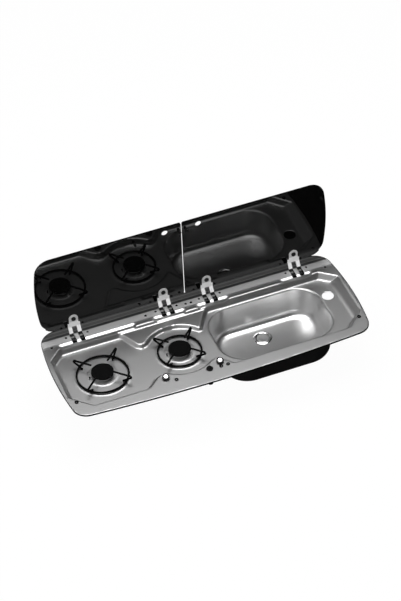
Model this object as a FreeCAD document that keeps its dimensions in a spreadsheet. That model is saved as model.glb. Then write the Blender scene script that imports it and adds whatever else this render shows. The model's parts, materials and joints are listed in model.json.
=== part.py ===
import FreeCAD, Part
import math
import os

# Drop-in hob and sink combination with two hinged glass lids.
# Millimetres. X runs along the unit to the right, Y to the back, Z up.
# The origin is the middle of the unit on the worktop's surface, under the rim seal.
# Depths and heights named below are measured from the rim's top face.

SIZES = {
    # pressed plate
    "plate_length": 900.0,
    "plate_depth": 370.0,
    "plate_sheet": 1.0,
    "front_bow": 17.8,
    "side_bow": 16.4,
    "front_corner": 45.0,
    "back_corner": 57.0,
    "seal_height": 3.0,
    "seal_width": 8.5,
    "seal_inset": 0.1,
    # recess that holds the burners and the sink deck
    "recess_depth": 18.0,
    "recess_left_gap": 14.0,
    "recess_right_gap": 22.0,
    "recess_front_gap": 46.0,
    "rail_depth": 76.0,
    "recess_draft": 10.0,
    "recess_round": 30.0,
    "front_cut_corner": 52.0,
    "back_cut_corner": 38.0,
    "ledge_depth": 8.0,
    "ledge_draft": 5.0,
    "ledge_round": 40.0,
    "ledge_ring_gap": 35.4,
    "ledge_half_angle": 50.0,
    "ledge_left_reach": 28.7,
    "ledge_left_round": 16.0,
    "ledge_left_flank": 45.1,
    "ledge_right_reach": 14.9,
    "ledge_right_round": 9.0,
    "ledge_right_flank": 49.3,
    "lobe_draft": 7.0,
    "lobe_round": 22.0,
    "lobe_knob_gap": 99.5,
    "lobe_ring_gap": 34.4,
    "lobe_half_angle": 35.0,
    "lobe_left_reach": 32.0,
    "lobe_left_round": 40.0,
    "lobe_left_flank": 62.0,
    "lobe_right_reach": 30.0,
    "lobe_right_round": 25.0,
    "lobe_right_flank": 50.0,
    # hinge pockets in the rail
    "pocket_depth": 3.7,
    "pocket_slope": 8.2,
    "pocket_end": 12.0,
    "pocket_round": 2.0,
    "pocket_reach": 52.0,
    "pocket_back_gap": 59.5,
    # burners
    "burner_edge_gap": 134.0,
    "burner_spacing": 228.5,
    "burner_back_shift": 7.5,
    "left_ring_radius": 72.6,
    "right_ring_radius": 61.6,
    "ring_depth": 12.0,
    "wire_radius": 2.5,
    "finger_rise": 9.5,
    "finger_reach": 24.3,
    "finger_bend": 4.0,
    "finger_inner": 35.0,
    "foot_setback": 12.0,
    "dish_margin": 8.0,
    "dish_depth": 3.0,
    "dish_slope": 5.0,
    "boss_radius": 43.0,
    "boss_rise": 1.5,
    "cap_radius": 32.0,
    "cap_thick": 5.0,
    "cap_edge": 1.5,
    "cap_top_depth": 0.5,
    "crown_radius": 26.2,
    "crown_bore": 14.0,
    "crown_slots": 20,
    "crown_slot": 2.2,
    "crown_slot_depth": 5.0,
    "cup_radius": 25.0,
    "cup_flange": 36.0,
    "cup_flange_thick": 2.0,
    "cup_depth": 20.0,
    "venturi_radius": 7.0,
    "venturi_length": 20.0,
    "jet_radius": 5.0,
    "jet_length": 8.0,
    "probe_distance": 38.0,
    "probe_radius": 2.0,
    "probe_top_depth": 9.0,
    "probe_length": 26.0,
    "electrode_radius": 3.0,
    "electrode_tip": 0.8,
    "electrode_tip_length": 6.0,
    "small_hole_gap": 0.2,
    # gas controls
    "knob_front_gap": 63.0,
    "left_knob_gap": 151.0,
    "right_knob_gap": 82.5,
    "knob_radius": 10.5,
    "knob_height": 7.0,
    "knob_lift": 3.3,
    "knob_grip": 8.2,
    "spindle_radius": 3.0,
    "spindle_length": 30.0,
    "spindle_grip": 5.0,
    "plug_radius": 6.0,
    "plug_length": 26.0,
    "plug_depth": 8.0,
    "valve_width": 24.0,
    "valve_height": 34.0,
    "valve_neck": 9.5,
    "valve_neck_height": 5.0,
    "running_gap": 0.05,
    "pipe_radius": 3.0,
    "pipe_depth": 30.0,
    "pipe_bend": 18.0,
    "manifold_radius": 5.0,
    "manifold_gap": 16.0,
    "manifold_overhang": 120.0,
    "inlet_radius": 4.0,
    "inlet_length": 40.0,
    "piezo_gap": 36.0,
    "piezo_front_gap": 50.0,
    "piezo_radius": 8.0,
    "piezo_length": 54.5,
    "piezo_collar": 9.5,
    "piezo_collar_height": 2.5,
    "button_radius": 6.0,
    "button_rise": 6.5,
    "button_length": 18.0,
    "button_travel": 3.5,
    # sink
    "bowl_left_gap": 108.0,
    "bowl_right_gap": 90.0,
    "bowl_front_gap": 63.0,
    "bowl_back_gap": 92.0,
    "bowl_depth": 90.0,
    "bowl_corner": 75.0,
    "bowl_taper_x": 13.0,
    "bowl_taper_y": 12.0,
    "bowl_floor_round": 26.0,
    "bowl_sheet": 0.8,
    "bowl_lip": 5.0,
    "jacket_sheet": 2.0,
    "jacket_gap": 1.3,
    "jacket_drop": 11.0,
    "jacket_taper_x": 11.0,
    "jacket_taper_y": 2.6,
    "jacket_round": 17.0,
    "drain_right_gap": 179.0,
    "drain_back_gap": 68.0,
    "waste_flange_radius": 27.0,
    "waste_flange_thick": 1.2,
    "waste_sleeve": 21.0,
    "waste_bore": 18.9,
    "waste_seat": 15.0,
    "waste_seat_depth": 5.0,
    "waste_length": 14.0,
    "waste_seal_radius": 30.0,
    "waste_seal_thick": 2.0,
    "waste_cup_radius": 28.0,
    "waste_cup_length": 22.0,
    "waste_wall": 2.5,
    "spigot_radius": 12.5,
    "spigot_length": 22.0,
    "drain_plug_gap": 0.4,
    "drain_plug_thick": 4.5,
    "drain_stem_radius": 4.0,
    "drain_stem_length": 10.0,
    "tap_side_gap": 66.0,
    "tap_back_gap": 161.0,
    "tap_hole": 17.5,
    # lids and hinges
    "lid_lift": 12.5,
    "lid_open_angle": 88.0,
    "glass_thick": 5.0,
    "glass_side_gap": 13.0,
    "glass_front_gap": 21.0,
    "glass_back_gap": 83.5,
    "glass_split": 3.5,
    "glass_bow": 13.0,
    "glass_corner": 46.0,
    "glass_inner_corner": 5.0,
    "finger_hole": 9.5,
    "finger_hole_side": 48.0,
    "finger_hole_front": 21.0,
    "hinge_inner": 66.0,
    "hinge_side_gap": 115.0,
    "pivot_back_gap": 47.0,
    "pivot_offset": 25.5,
    "pin_radius": 2.5,
    "arm_thick": 2.0,
    "arm_width": 36.0,
    "arm_leg": 11.0,
    "arm_bend": 32.0,
    "arm_shoulder": 12.0,
    "tab_width": 27.0,
    "tab_length": 44.0,
    "eye_radius": 5.0,
    "slot_gap": 1.0,
    "slot_front": 19.5,
    "slot_back": 14.0,
    "bracket_sheet": 2.0,
    "bracket_wing": 18.0,
    "bracket_depth": 24.0,
    "bracket_drop": 6.0,
    "rivet_radius": 3.5,
    "rivet_height": 1.2,
    "rivet_side": 32.0,
    "screw_head": 6.5,
    "screw_head_height": 3.0,
    "screw_radius": 3.0,
    "washer_radius": 9.0,
    "washer_thick": 1.0,
    "cap_nut_radius": 9.0,
    "cap_nut_height": 3.0,
    # small fittings
    "bumper_radius": 4.8,
    "bumper_bore": 1.8,
    "bumper_height": 3.0,
    "bumper_gap": 0.3,
    "lid_foot_radius": 3.8,
    "bumper_side_gap": 29.0,
    "bumper_front_gap": 75.0,
    "bumper_middle_gap": 47.0,
    "bumper_knob_gap": 25.2,
    "bumper_hob_gap": 2.7,
    "bumper_sink_gap": 17.1,
    "rail_screw_radius": 4.0,
    "rail_screw_height": 1.6,
    "rail_screw_back": 48.0,
    "rail_corner_side": 33.0,
    "rail_corner_back": 66.0,
    "tab_hole": 2.2,
    "fixing_width": 18.0,
    "fixing_drop": 16.0,
    "fixing_sheet": 2.0,
    "fixing_inset": 26.0,
}

doc = FreeCAD.newDocument("hob_and_sink")
sheet = doc.addObject("Spreadsheet::Sheet", "sizes")
for row, (alias, value) in enumerate(SIZES.items(), start=1):
    sheet.set(f"A{row}", alias)
    sheet.set(f"B{row}", str(value))
    sheet.setAlias(f"B{row}", alias)
doc.recompute()

pieces = []


def mm(alias):
    return float(getattr(sheet, alias))


def vec(x, y, z):
    return FreeCAD.Vector(x, y, z)


def primitive(kind, name, place, turn=None, **sizes):
    """A basic solid whose sizes are bound to the sheet."""
    solid = doc.addObject("Part::" + kind, name)
    for side, formula in sizes.items():
        solid.setExpression(side, formula)
    solid.Placement = FreeCAD.Placement(vec(*place), turn or FreeCAD.Rotation())
    return solid


def cylinder(name, place, radius, height, turn=None):
    return primitive("Cylinder", name, place, turn, Radius=radius, Height=height)


def box(name, place, length, width, height, turn=None):
    return primitive("Box", name, place, turn, Length=length, Width=width, Height=height)


def fuse(name, solids):
    joined = doc.addObject("Part::MultiFuse", name)
    joined.Shapes = solids
    return joined


def cut(name, base, tools):
    result = doc.addObject("Part::Cut", name)
    result.Base = base
    result.Tool = tools[0] if len(tools) == 1 else fuse(name + "_tools", tools)
    return result


def group(name, solids):
    bundle = doc.addObject("Part::Compound", name)
    bundle.Links = solids
    return bundle


def shaped(name, shape):
    solid = doc.addObject("Part::Feature", name)
    solid.Shape = shape
    return solid


def keep(piece):
    pieces.append(piece)
    return piece


# Directions for cylinders that don't stand upright
ALONG_X = FreeCAD.Rotation(vec(0, 1, 0), 90)
ALONG_Y = FreeCAD.Rotation(vec(1, 0, 0), -90)


# Outlines and drafted hollows of the pressed sheets


def grown(corners, growth):
    """Moves every side of a counter-clockwise outline outwards."""
    moved = []
    count = len(corners)
    for i in range(count):
        before = corners[i - 1]
        here = corners[i]
        after = corners[(i + 1) % count]
        a = math.atan2(here[1] - before[1], here[0] - before[0])
        b = math.atan2(after[1] - here[1], after[0] - here[0])
        turn = math.remainder(b - a, 2 * math.pi)
        middle = a + turn / 2 - math.pi / 2
        reach = growth / math.cos(turn / 2)
        radius = here[2] + growth if turn > 0 else here[2] - growth
        moved.append((here[0] + reach * math.cos(middle), here[1] + reach * math.sin(middle), radius))
    return moved


def outline(corners, z):
    """A closed wire through the corners (x, y, radius), each rounded by an arc."""
    starts = []
    arcs = []
    count = len(corners)
    for i in range(count):
        here = vec(corners[i][0], corners[i][1], z)
        before = vec(corners[i - 1][0], corners[i - 1][1], z) - here
        after = vec(corners[(i + 1) % count][0], corners[(i + 1) % count][1], z) - here
        half = before.getAngle(after) / 2
        radius = corners[i][2]
        before.normalize()
        after.normalize()
        first = here + before * (radius / math.tan(half))
        last = here + after * (radius / math.tan(half))
        inward = before + after
        inward.normalize()
        middle = here + inward * (radius / math.sin(half) - radius)
        starts.append((first, last))
        arcs.append(Part.Arc(first, middle, last).toShape())
    edges = []
    for i in range(count):
        edges.append(arcs[i])
        edges.append(Part.makeLine(starts[i][1], starts[(i + 1) % count][0]))
    return Part.Wire(edges)


def drafted(upper, lower, top, bottom):
    """A solid with straight sloping sides between two outlines."""
    return Part.makeLoft([outline(upper, top), outline(lower, bottom)], True, True)


def rectangle(left, right, front, back, radius):
    return [(left, front, radius), (right, front, radius), (right, back, radius), (left, back, radius)]


def bowed_panel(left, right, front, back, bows, radii, bottom, top):
    """A flat panel whose left, right and front sides may bow outwards.

    bows are (left, right, front), radii run front left, front right, back right, back left.
    """
    inner_left = left + bows[0]
    inner_right = right - bows[1]
    inner_front = front + bows[2]
    spots = [
        vec(inner_left, inner_front, bottom),
        vec(inner_right, inner_front, bottom),
        vec(inner_right, back, bottom),
        vec(inner_left, back, bottom),
    ]
    bulges = [
        vec((inner_left + inner_right) / 2, front, bottom),
        vec(right, (inner_front + back) / 2, bottom),
        None,
        vec(left, (inner_front + back) / 2, bottom),
    ]
    flat = [bows[2] == 0, bows[1] == 0, True, bows[0] == 0]
    edges = []
    for i in range(4):
        start = spots[i]
        end = spots[(i + 1) % 4]
        if flat[i]:
            edges.append(Part.makeLine(start, end))
        else:
            edges.append(Part.Arc(start, bulges[i], end).toShape())
    panel = Part.Face(Part.Wire(edges)).extrude(vec(0, 0, top - bottom))
    for spot, radius in zip(spots, radii):
        uprights = [e for e in panel.Edges if is_upright(e, spot)]
        panel = panel.makeFillet(radius, uprights)
    return panel


def bent_bar(points, bend, radius):
    """A round bar along two straight runs with an arc between them."""
    start, corner, end = points
    before = start - corner
    after = end - corner
    half = before.getAngle(after) / 2
    before.normalize()
    after.normalize()
    inward = before + after
    inward.normalize()
    first = corner + before * (bend / math.tan(half))
    last = corner + after * (bend / math.tan(half))
    middle = corner + inward * (bend / math.sin(half) - bend)
    path = Part.Wire([
        Part.makeLine(start, first),
        Part.Arc(first, middle, last).toShape(),
        Part.makeLine(last, end),
    ])
    section = Part.Wire(Part.makeCircle(radius, start, first - start))
    return path.makePipeShell([section], True, False)


def is_upright(edge, spot):
    ends = [v.Point for v in edge.Vertexes]
    return len(ends) == 2 and all(math.hypot(p.x - spot.x, p.y - spot.y) < 0.01 for p in ends)


# Levels
rim_top = mm("seal_height") + mm("plate_sheet")
rim_under = mm("seal_height")
floor = rim_top - mm("recess_depth")
ledge = rim_top - mm("ledge_depth")
dish = floor - mm("dish_depth")
boss = dish + mm("boss_rise")
boss_under = boss - mm("plate_sheet")
overlap = 1.0

# Edges of the plate
half_length = mm("plate_length") / 2
half_depth = mm("plate_depth") / 2

# Recess limits on the rim
recess_left = -half_length + mm("recess_left_gap")
recess_right = half_length - mm("recess_right_gap")
recess_front = -half_depth + mm("recess_front_gap")
recess_back = half_depth - mm("rail_depth")

# Burner axes
burner_y = (recess_front + recess_back) / 2 - mm("burner_back_shift")
left_x = -half_length + mm("burner_edge_gap")
right_x = left_x + mm("burner_spacing")
burners = {
    "left": (left_x, mm("left_ring_radius")),
    "right": (right_x, mm("right_ring_radius")),
}

# Knobs, push button, tap hole, drain
knob_y = -half_depth + mm("knob_front_gap")
knobs = {"left": left_x + mm("left_knob_gap"), "right": right_x + mm("right_knob_gap")}
piezo_x = knobs["right"] - mm("piezo_gap")
piezo_y = -half_depth + mm("piezo_front_gap")
tap_x = half_length - mm("tap_side_gap")
tap_y = half_depth - mm("tap_back_gap")

# Sink opening, on the floor of the recess
bowl_left = right_x + mm("bowl_left_gap")
bowl_right = half_length - mm("bowl_right_gap")
bowl_front = -half_depth + mm("bowl_front_gap")
bowl_back = half_depth - mm("bowl_back_gap")
drain_x = bowl_right - mm("drain_right_gap")
drain_y = bowl_back - mm("drain_back_gap")

# Hinge axis and the four hinge places
pivot_y = half_depth - mm("pivot_back_gap")
pivot_z = rim_top + mm("lid_lift") - mm("pivot_offset")
hinges = {
    "a": -half_length + mm("hinge_side_gap"),
    "b": -mm("hinge_inner"),
    "c": mm("hinge_inner"),
    "d": half_length - mm("hinge_side_gap"),
}
pocket_back = half_depth - mm("pocket_back_gap")


def recess_corners(inset):
    """Outline of the recess with its four cut corners, drawn in by its draft."""
    front_cut = mm("front_cut_corner")
    back_cut = mm("back_cut_corner")
    radius = mm("recess_round")
    points = [
        (recess_left + front_cut, recess_front, radius),
        (recess_right - front_cut, recess_front, radius),
        (recess_right, recess_front + front_cut, radius),
        (recess_right, recess_back - back_cut, radius),
        (recess_right - back_cut, recess_back, radius),
        (recess_left + back_cut, recess_back, radius),
        (recess_left, recess_back - back_cut, radius),
        (recess_left, recess_front + front_cut, radius),
    ]
    return grown(points, -inset)


def wave_corners(name, middle, wall, behind):
    """Outline, on the recess floor, of a raised wave that winds round the right burner along a wall.

    middle is the Y of the centre of its big arc.
    """
    way = 1 if behind > wall else -1
    bend = mm("right_ring_radius") + mm(name + "_ring_gap")
    half = math.radians(mm(name + "_half_angle"))
    apex_y = middle + way * bend / math.cos(half)
    left_run = bend * math.tan(half) + mm(name + "_left_reach")
    right_run = bend * math.tan(half) + mm(name + "_right_reach")
    left_tip = (right_x - left_run * math.cos(half), apex_y - way * left_run * math.sin(half))
    right_tip = (right_x + right_run * math.cos(half), apex_y - way * right_run * math.sin(half))
    left_foot = left_tip[0] - mm(name + "_left_flank")
    right_foot = right_tip[0] + mm(name + "_right_flank")
    radius = mm(name + "_round")
    end = mm(name + "_draft") + 3 * mm("plate_sheet")
    points = [
        (left_foot - radius, wall, end),
        (left_foot, wall, radius),
        (*left_tip, mm(name + "_left_round")),
        (right_x, apex_y, bend),
        (*right_tip, mm(name + "_right_round")),
        (right_foot, wall, radius),
        (right_foot + radius, wall, end),
        (right_foot + radius, behind, end),
        (left_foot - radius, behind, end),
    ]
    return points[::way]


def hollow(growth):
    """The space above the pressed sheet, or below it when grown by the sheet."""
    upper = grown(recess_corners(0), growth)
    lower = grown(recess_corners(mm("recess_draft")), growth)
    space = drafted(upper, lower, rim_top, floor - growth)
    back_wave = wave_corners("ledge", burner_y, recess_back, recess_back + mm("rail_depth") / 4)
    # the knobs stand on the front wave, so it keeps its place behind them
    lobe_y = knob_y + mm("lobe_knob_gap")
    front_wave = wave_corners("lobe", lobe_y, recess_front, recess_front - mm("recess_front_gap") / 2)
    bumps = [
        bump(back_wave, mm("ledge_draft"), ledge, growth),
        bump(front_wave, mm("lobe_draft"), rim_top, growth),
    ]
    space = space.cut(bumps)
    parts = [space]
    parts.extend(pockets(growth))
    parts.extend(dishes(growth))
    return parts[0].fuse(parts[1:])


def bump(corners, draft, top, growth):
    """A raised area in the recess. It stands on the floor and slopes in to its top."""
    base = floor - growth - overlap
    steep = draft / (top - floor)
    foot = grown(corners, -growth + steep * overlap)
    crest = grown(corners, -growth - draft)
    if top < rim_top:
        return drafted(crest, foot, top - growth, base)
    higher = grown(corners, -growth - draft - steep * overlap)
    return drafted(higher, foot, top + overlap, base)


def pockets(growth):
    """Sloping pockets in the rail, in front of the hinges."""
    end = mm("pocket_end")
    spans = [
        (recess_left + 3 * end, (hinges["b"] + hinges["a"]) / 2 + 3 * end),
        (hinges["b"] - mm("pocket_reach"), hinges["b"] + mm("pocket_reach")),
        (hinges["c"] - mm("pocket_reach"), hinges["c"] + mm("pocket_reach")),
        (hinges["d"] - mm("pocket_reach") - end, hinges["d"] + mm("pocket_reach") - end),
    ]
    front = recess_back - mm("recess_draft")
    found = []
    for left, right in spans:
        upper = rectangle(left, right, front, pocket_back, mm("pocket_round"))
        slope_foot = pocket_back - mm("pocket_slope")
        lower = rectangle(left + end, right - end, front, slope_foot, mm("pocket_round"))
        bottom = rim_top - mm("pocket_depth") - growth
        found.append(drafted(grown(upper, growth), grown(lower, growth), rim_top, bottom))
    return found


def dishes(growth):
    """A shallow round dish under each pan support, with a raised boss in its middle."""
    found = []
    for x, ring in burners.values():
        outer = ring + mm("dish_margin") + growth
        depth = mm("dish_depth")
        slope = mm("dish_slope")
        bowl = Part.makeCone(outer - slope, outer, depth, vec(x, burner_y, dish - growth))
        rise = boss - dish
        inner = mm("boss_radius") - growth
        hill = Part.makeCone(inner, inner - rise, rise, vec(x, burner_y, dish - growth))
        found.append(bowl.cut(hill))
    return found


def round_hole(x, y, radius, bottom, top):
    return Part.makeCylinder(radius, top - bottom, vec(x, y, bottom))


def leg_places(x):
    """Left ends of the two legs of a hinge arm."""
    return (x - mm("arm_width") / 2, x + mm("arm_width") / 2 - mm("arm_leg"))


def bowl_corners(growth):
    return grown(rectangle(bowl_left, bowl_right, bowl_front, bowl_back, mm("bowl_corner")), growth)


def probe_spots(side):
    """Where the flame probe and the spark electrode of a burner stand."""
    x = burners[side][0]
    far = mm("probe_distance")
    slant = far * math.sqrt(0.5)
    return {
        "thermocouple": (x - far, burner_y),
        "electrode": (x + slant / 2, burner_y + far * math.sqrt(7 / 8)),
    }


def plate_holes():
    """Everything that passes through the pressed sheet."""
    low = floor - mm("recess_depth")
    high = rim_top + overlap
    gap = mm("small_hole_gap")
    holes = [round_hole(tap_x, tap_y, mm("tap_hole"), low, high)]
    holes.append(round_hole(piezo_x, piezo_y, mm("piezo_radius") + gap, low, high))
    for side, (x, _) in burners.items():
        holes.append(round_hole(x, burner_y, mm("crown_radius") + gap, low, high))
        spots = probe_spots(side)
        holes.append(round_hole(*spots["thermocouple"], mm("probe_radius") + gap, low, high))
        holes.append(round_hole(*spots["electrode"], mm("electrode_radius") + gap, low, high))
        holes.append(round_hole(knobs[side], knob_y, mm("plug_radius"), low, high))
    for x in hinges.values():
        for leg in leg_places(x):
            width = mm("arm_leg") + 2 * mm("slot_gap")
            depth = mm("slot_front") + mm("slot_back")
            corner = vec(leg - mm("slot_gap"), pivot_y - mm("slot_front"), low)
            holes.append(Part.makeBox(width, depth, high - low, corner))
    holes.append(Part.Face(outline(bowl_corners(0), low)).extrude(vec(0, 0, high - low)))
    return holes


def plate_panel(inset, bottom, top):
    corner_front = mm("front_corner") - inset
    corner_back = mm("back_corner") - inset
    return bowed_panel(
        -half_length + inset,
        half_length - inset,
        -half_depth + inset,
        half_depth - inset,
        (mm("side_bow"), mm("side_bow"), mm("front_bow")),
        (corner_front, corner_front, corner_back, corner_back),
        bottom,
        top,
    )


# Pressed plate and its rim seal
blank = plate_panel(0, rim_under, rim_top).fuse(hollow(mm("plate_sheet")))
pressed = blank.cut(hollow(0)).cut(plate_holes())
keep(shaped("top_plate", pressed))

seal_outer = plate_panel(mm("seal_inset"), 0, rim_under)
seal_inner = plate_panel(mm("seal_inset") + mm("seal_width"), -overlap, rim_under + overlap)
keep(shaped("rim_seal", seal_outer.cut(seal_inner)))


# Sink bowl in its black jacket


def rounded_below(block, bottom, radius):
    """The block with the edges round its bottom rounded off."""
    rims = [e for e in block.Edges if all(abs(v.Z - bottom) < 0.01 for v in e.Vertexes)]
    return block.makeFillet(radius, rims)


def bowl_block(growth):
    """The bowl's inside, or its outside when grown, with a rounded floor edge."""
    top = floor - mm("plate_sheet")
    bottom = floor - mm("bowl_depth") - growth
    lower = rectangle(
        bowl_left + mm("bowl_taper_x"),
        bowl_right - mm("bowl_taper_x"),
        bowl_front + mm("bowl_taper_y"),
        bowl_back - mm("bowl_taper_y"),
        mm("bowl_corner") - mm("bowl_taper_y"),
    )
    block = drafted(bowl_corners(growth), grown(lower, growth), top, bottom)
    return rounded_below(block, bottom, mm("bowl_floor_round") + growth)


def jacket_block(growth):
    """The jacket's inside, or its outside when grown: steep walls and a flat bottom."""
    top = floor - mm("plate_sheet") - mm("bowl_sheet")
    bottom = jacket_floor - growth
    wall = mm("jacket_gap") + growth
    lower = rectangle(
        bowl_left + mm("jacket_taper_x"),
        bowl_right - mm("jacket_taper_x"),
        bowl_front + mm("jacket_taper_y"),
        bowl_back - mm("jacket_taper_y"),
        mm("bowl_corner"),
    )
    block = drafted(bowl_corners(wall), grown(lower, wall), top, bottom)
    return rounded_below(block, bottom, mm("jacket_round") + growth)


bowl_top = floor - mm("plate_sheet")
bowl_floor = floor - mm("bowl_depth")
bowl_under = bowl_floor - mm("bowl_sheet")
jacket_floor = bowl_under - mm("jacket_drop")

inside = bowl_block(0)
outside = bowl_block(mm("bowl_sheet"))
lip_face = Part.Face(outline(bowl_corners(mm("bowl_lip")), bowl_top))
lip = lip_face.extrude(vec(0, 0, -mm("bowl_sheet")))
waste_radius = mm("waste_sleeve") + mm("small_hole_gap")
waste_hole = round_hole(drain_x, drain_y, waste_radius, bowl_under - overlap, bowl_floor + overlap)
keep(shaped("sink_bowl", outside.fuse(lip).cut([inside, waste_hole])))

jacket_under = jacket_floor - mm("jacket_sheet")
waste_room = mm("waste_seal_radius") + mm("jacket_gap")
jacket_hole = round_hole(drain_x, drain_y, waste_room, jacket_under - overlap, bowl_under)
keep(shaped("bowl_jacket", jacket_block(mm("jacket_sheet")).cut([jacket_block(0), jacket_hole])))


# Waste fitting and its plug
flange_top = bowl_floor + mm("waste_flange_thick")
sleeve_bottom = bowl_floor - mm("waste_length")
seat = flange_top - mm("waste_seat_depth")
flange = fuse(
    "waste_flange_blank",
    [
        cylinder("waste_disc", (drain_x, drain_y, bowl_floor), "sizes.waste_flange_radius",
                 "sizes.waste_flange_thick"),
        cylinder("waste_tube", (drain_x, drain_y, sleeve_bottom), "sizes.waste_sleeve",
                 "sizes.waste_length"),
    ],
)
bores = [
    cylinder("waste_mouth", (drain_x, drain_y, seat), "sizes.waste_bore", "sizes.waste_seat_depth + 1"),
    cylinder("waste_throat", (drain_x, drain_y, sleeve_bottom - overlap), "sizes.waste_seat",
             "sizes.waste_length + 1"),
]
keep(cut("waste_flange", flange, bores))

seal_bottom = bowl_under - mm("waste_seal_thick")
keep(cut(
    "waste_seal",
    cylinder("waste_seal_disc", (drain_x, drain_y, seal_bottom), "sizes.waste_seal_radius",
             "sizes.waste_seal_thick"),
    [cylinder("waste_seal_bore", (drain_x, drain_y, seal_bottom - overlap),
              "sizes.waste_sleeve + sizes.small_hole_gap",
              "sizes.waste_seal_thick + 2")],
))

cup_bottom = seal_bottom - mm("waste_cup_length")
spigot_end = cup_bottom - mm("spigot_length")
waste_outside = fuse(
    "waste_outside",
    [
        cylinder("waste_cup", (drain_x, drain_y, cup_bottom), "sizes.waste_cup_radius",
                 "sizes.waste_cup_length"),
        cylinder("waste_spigot", (drain_x, drain_y, spigot_end), "sizes.spigot_radius",
                 "sizes.spigot_length + 1"),
    ],
)
waste_inside = [
    cylinder("waste_socket", (drain_x, drain_y, sleeve_bottom), "sizes.waste_sleeve + sizes.small_hole_gap",
             "sizes.waste_length + 1"),
    cylinder("waste_room", (drain_x, drain_y, cup_bottom + mm("waste_wall")), "sizes.waste_seat",
             "sizes.waste_cup_length"),
    cylinder("waste_outlet", (drain_x, drain_y, spigot_end - overlap),
             "sizes.spigot_radius - sizes.waste_wall", "sizes.spigot_length + sizes.waste_wall + 2"),
]
keep(cut("waste_body", waste_outside, waste_inside))

plug_rest = seat + mm("running_gap")
keep(fuse(
    "drain_plug",
    [
        cylinder("drain_disc", (drain_x, drain_y, plug_rest), "sizes.waste_bore - sizes.drain_plug_gap",
                 "sizes.drain_plug_thick"),
        cylinder("drain_stem", (drain_x, drain_y, plug_rest - mm("drain_stem_length")),
                 "sizes.drain_stem_radius", "sizes.drain_stem_length + 1"),
    ],
))


# Burners
cap_top = rim_top - mm("cap_top_depth")
cap_under = cap_top - mm("cap_thick")
cup_top = boss_under
jet_z = rim_top - mm("pipe_depth")

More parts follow.
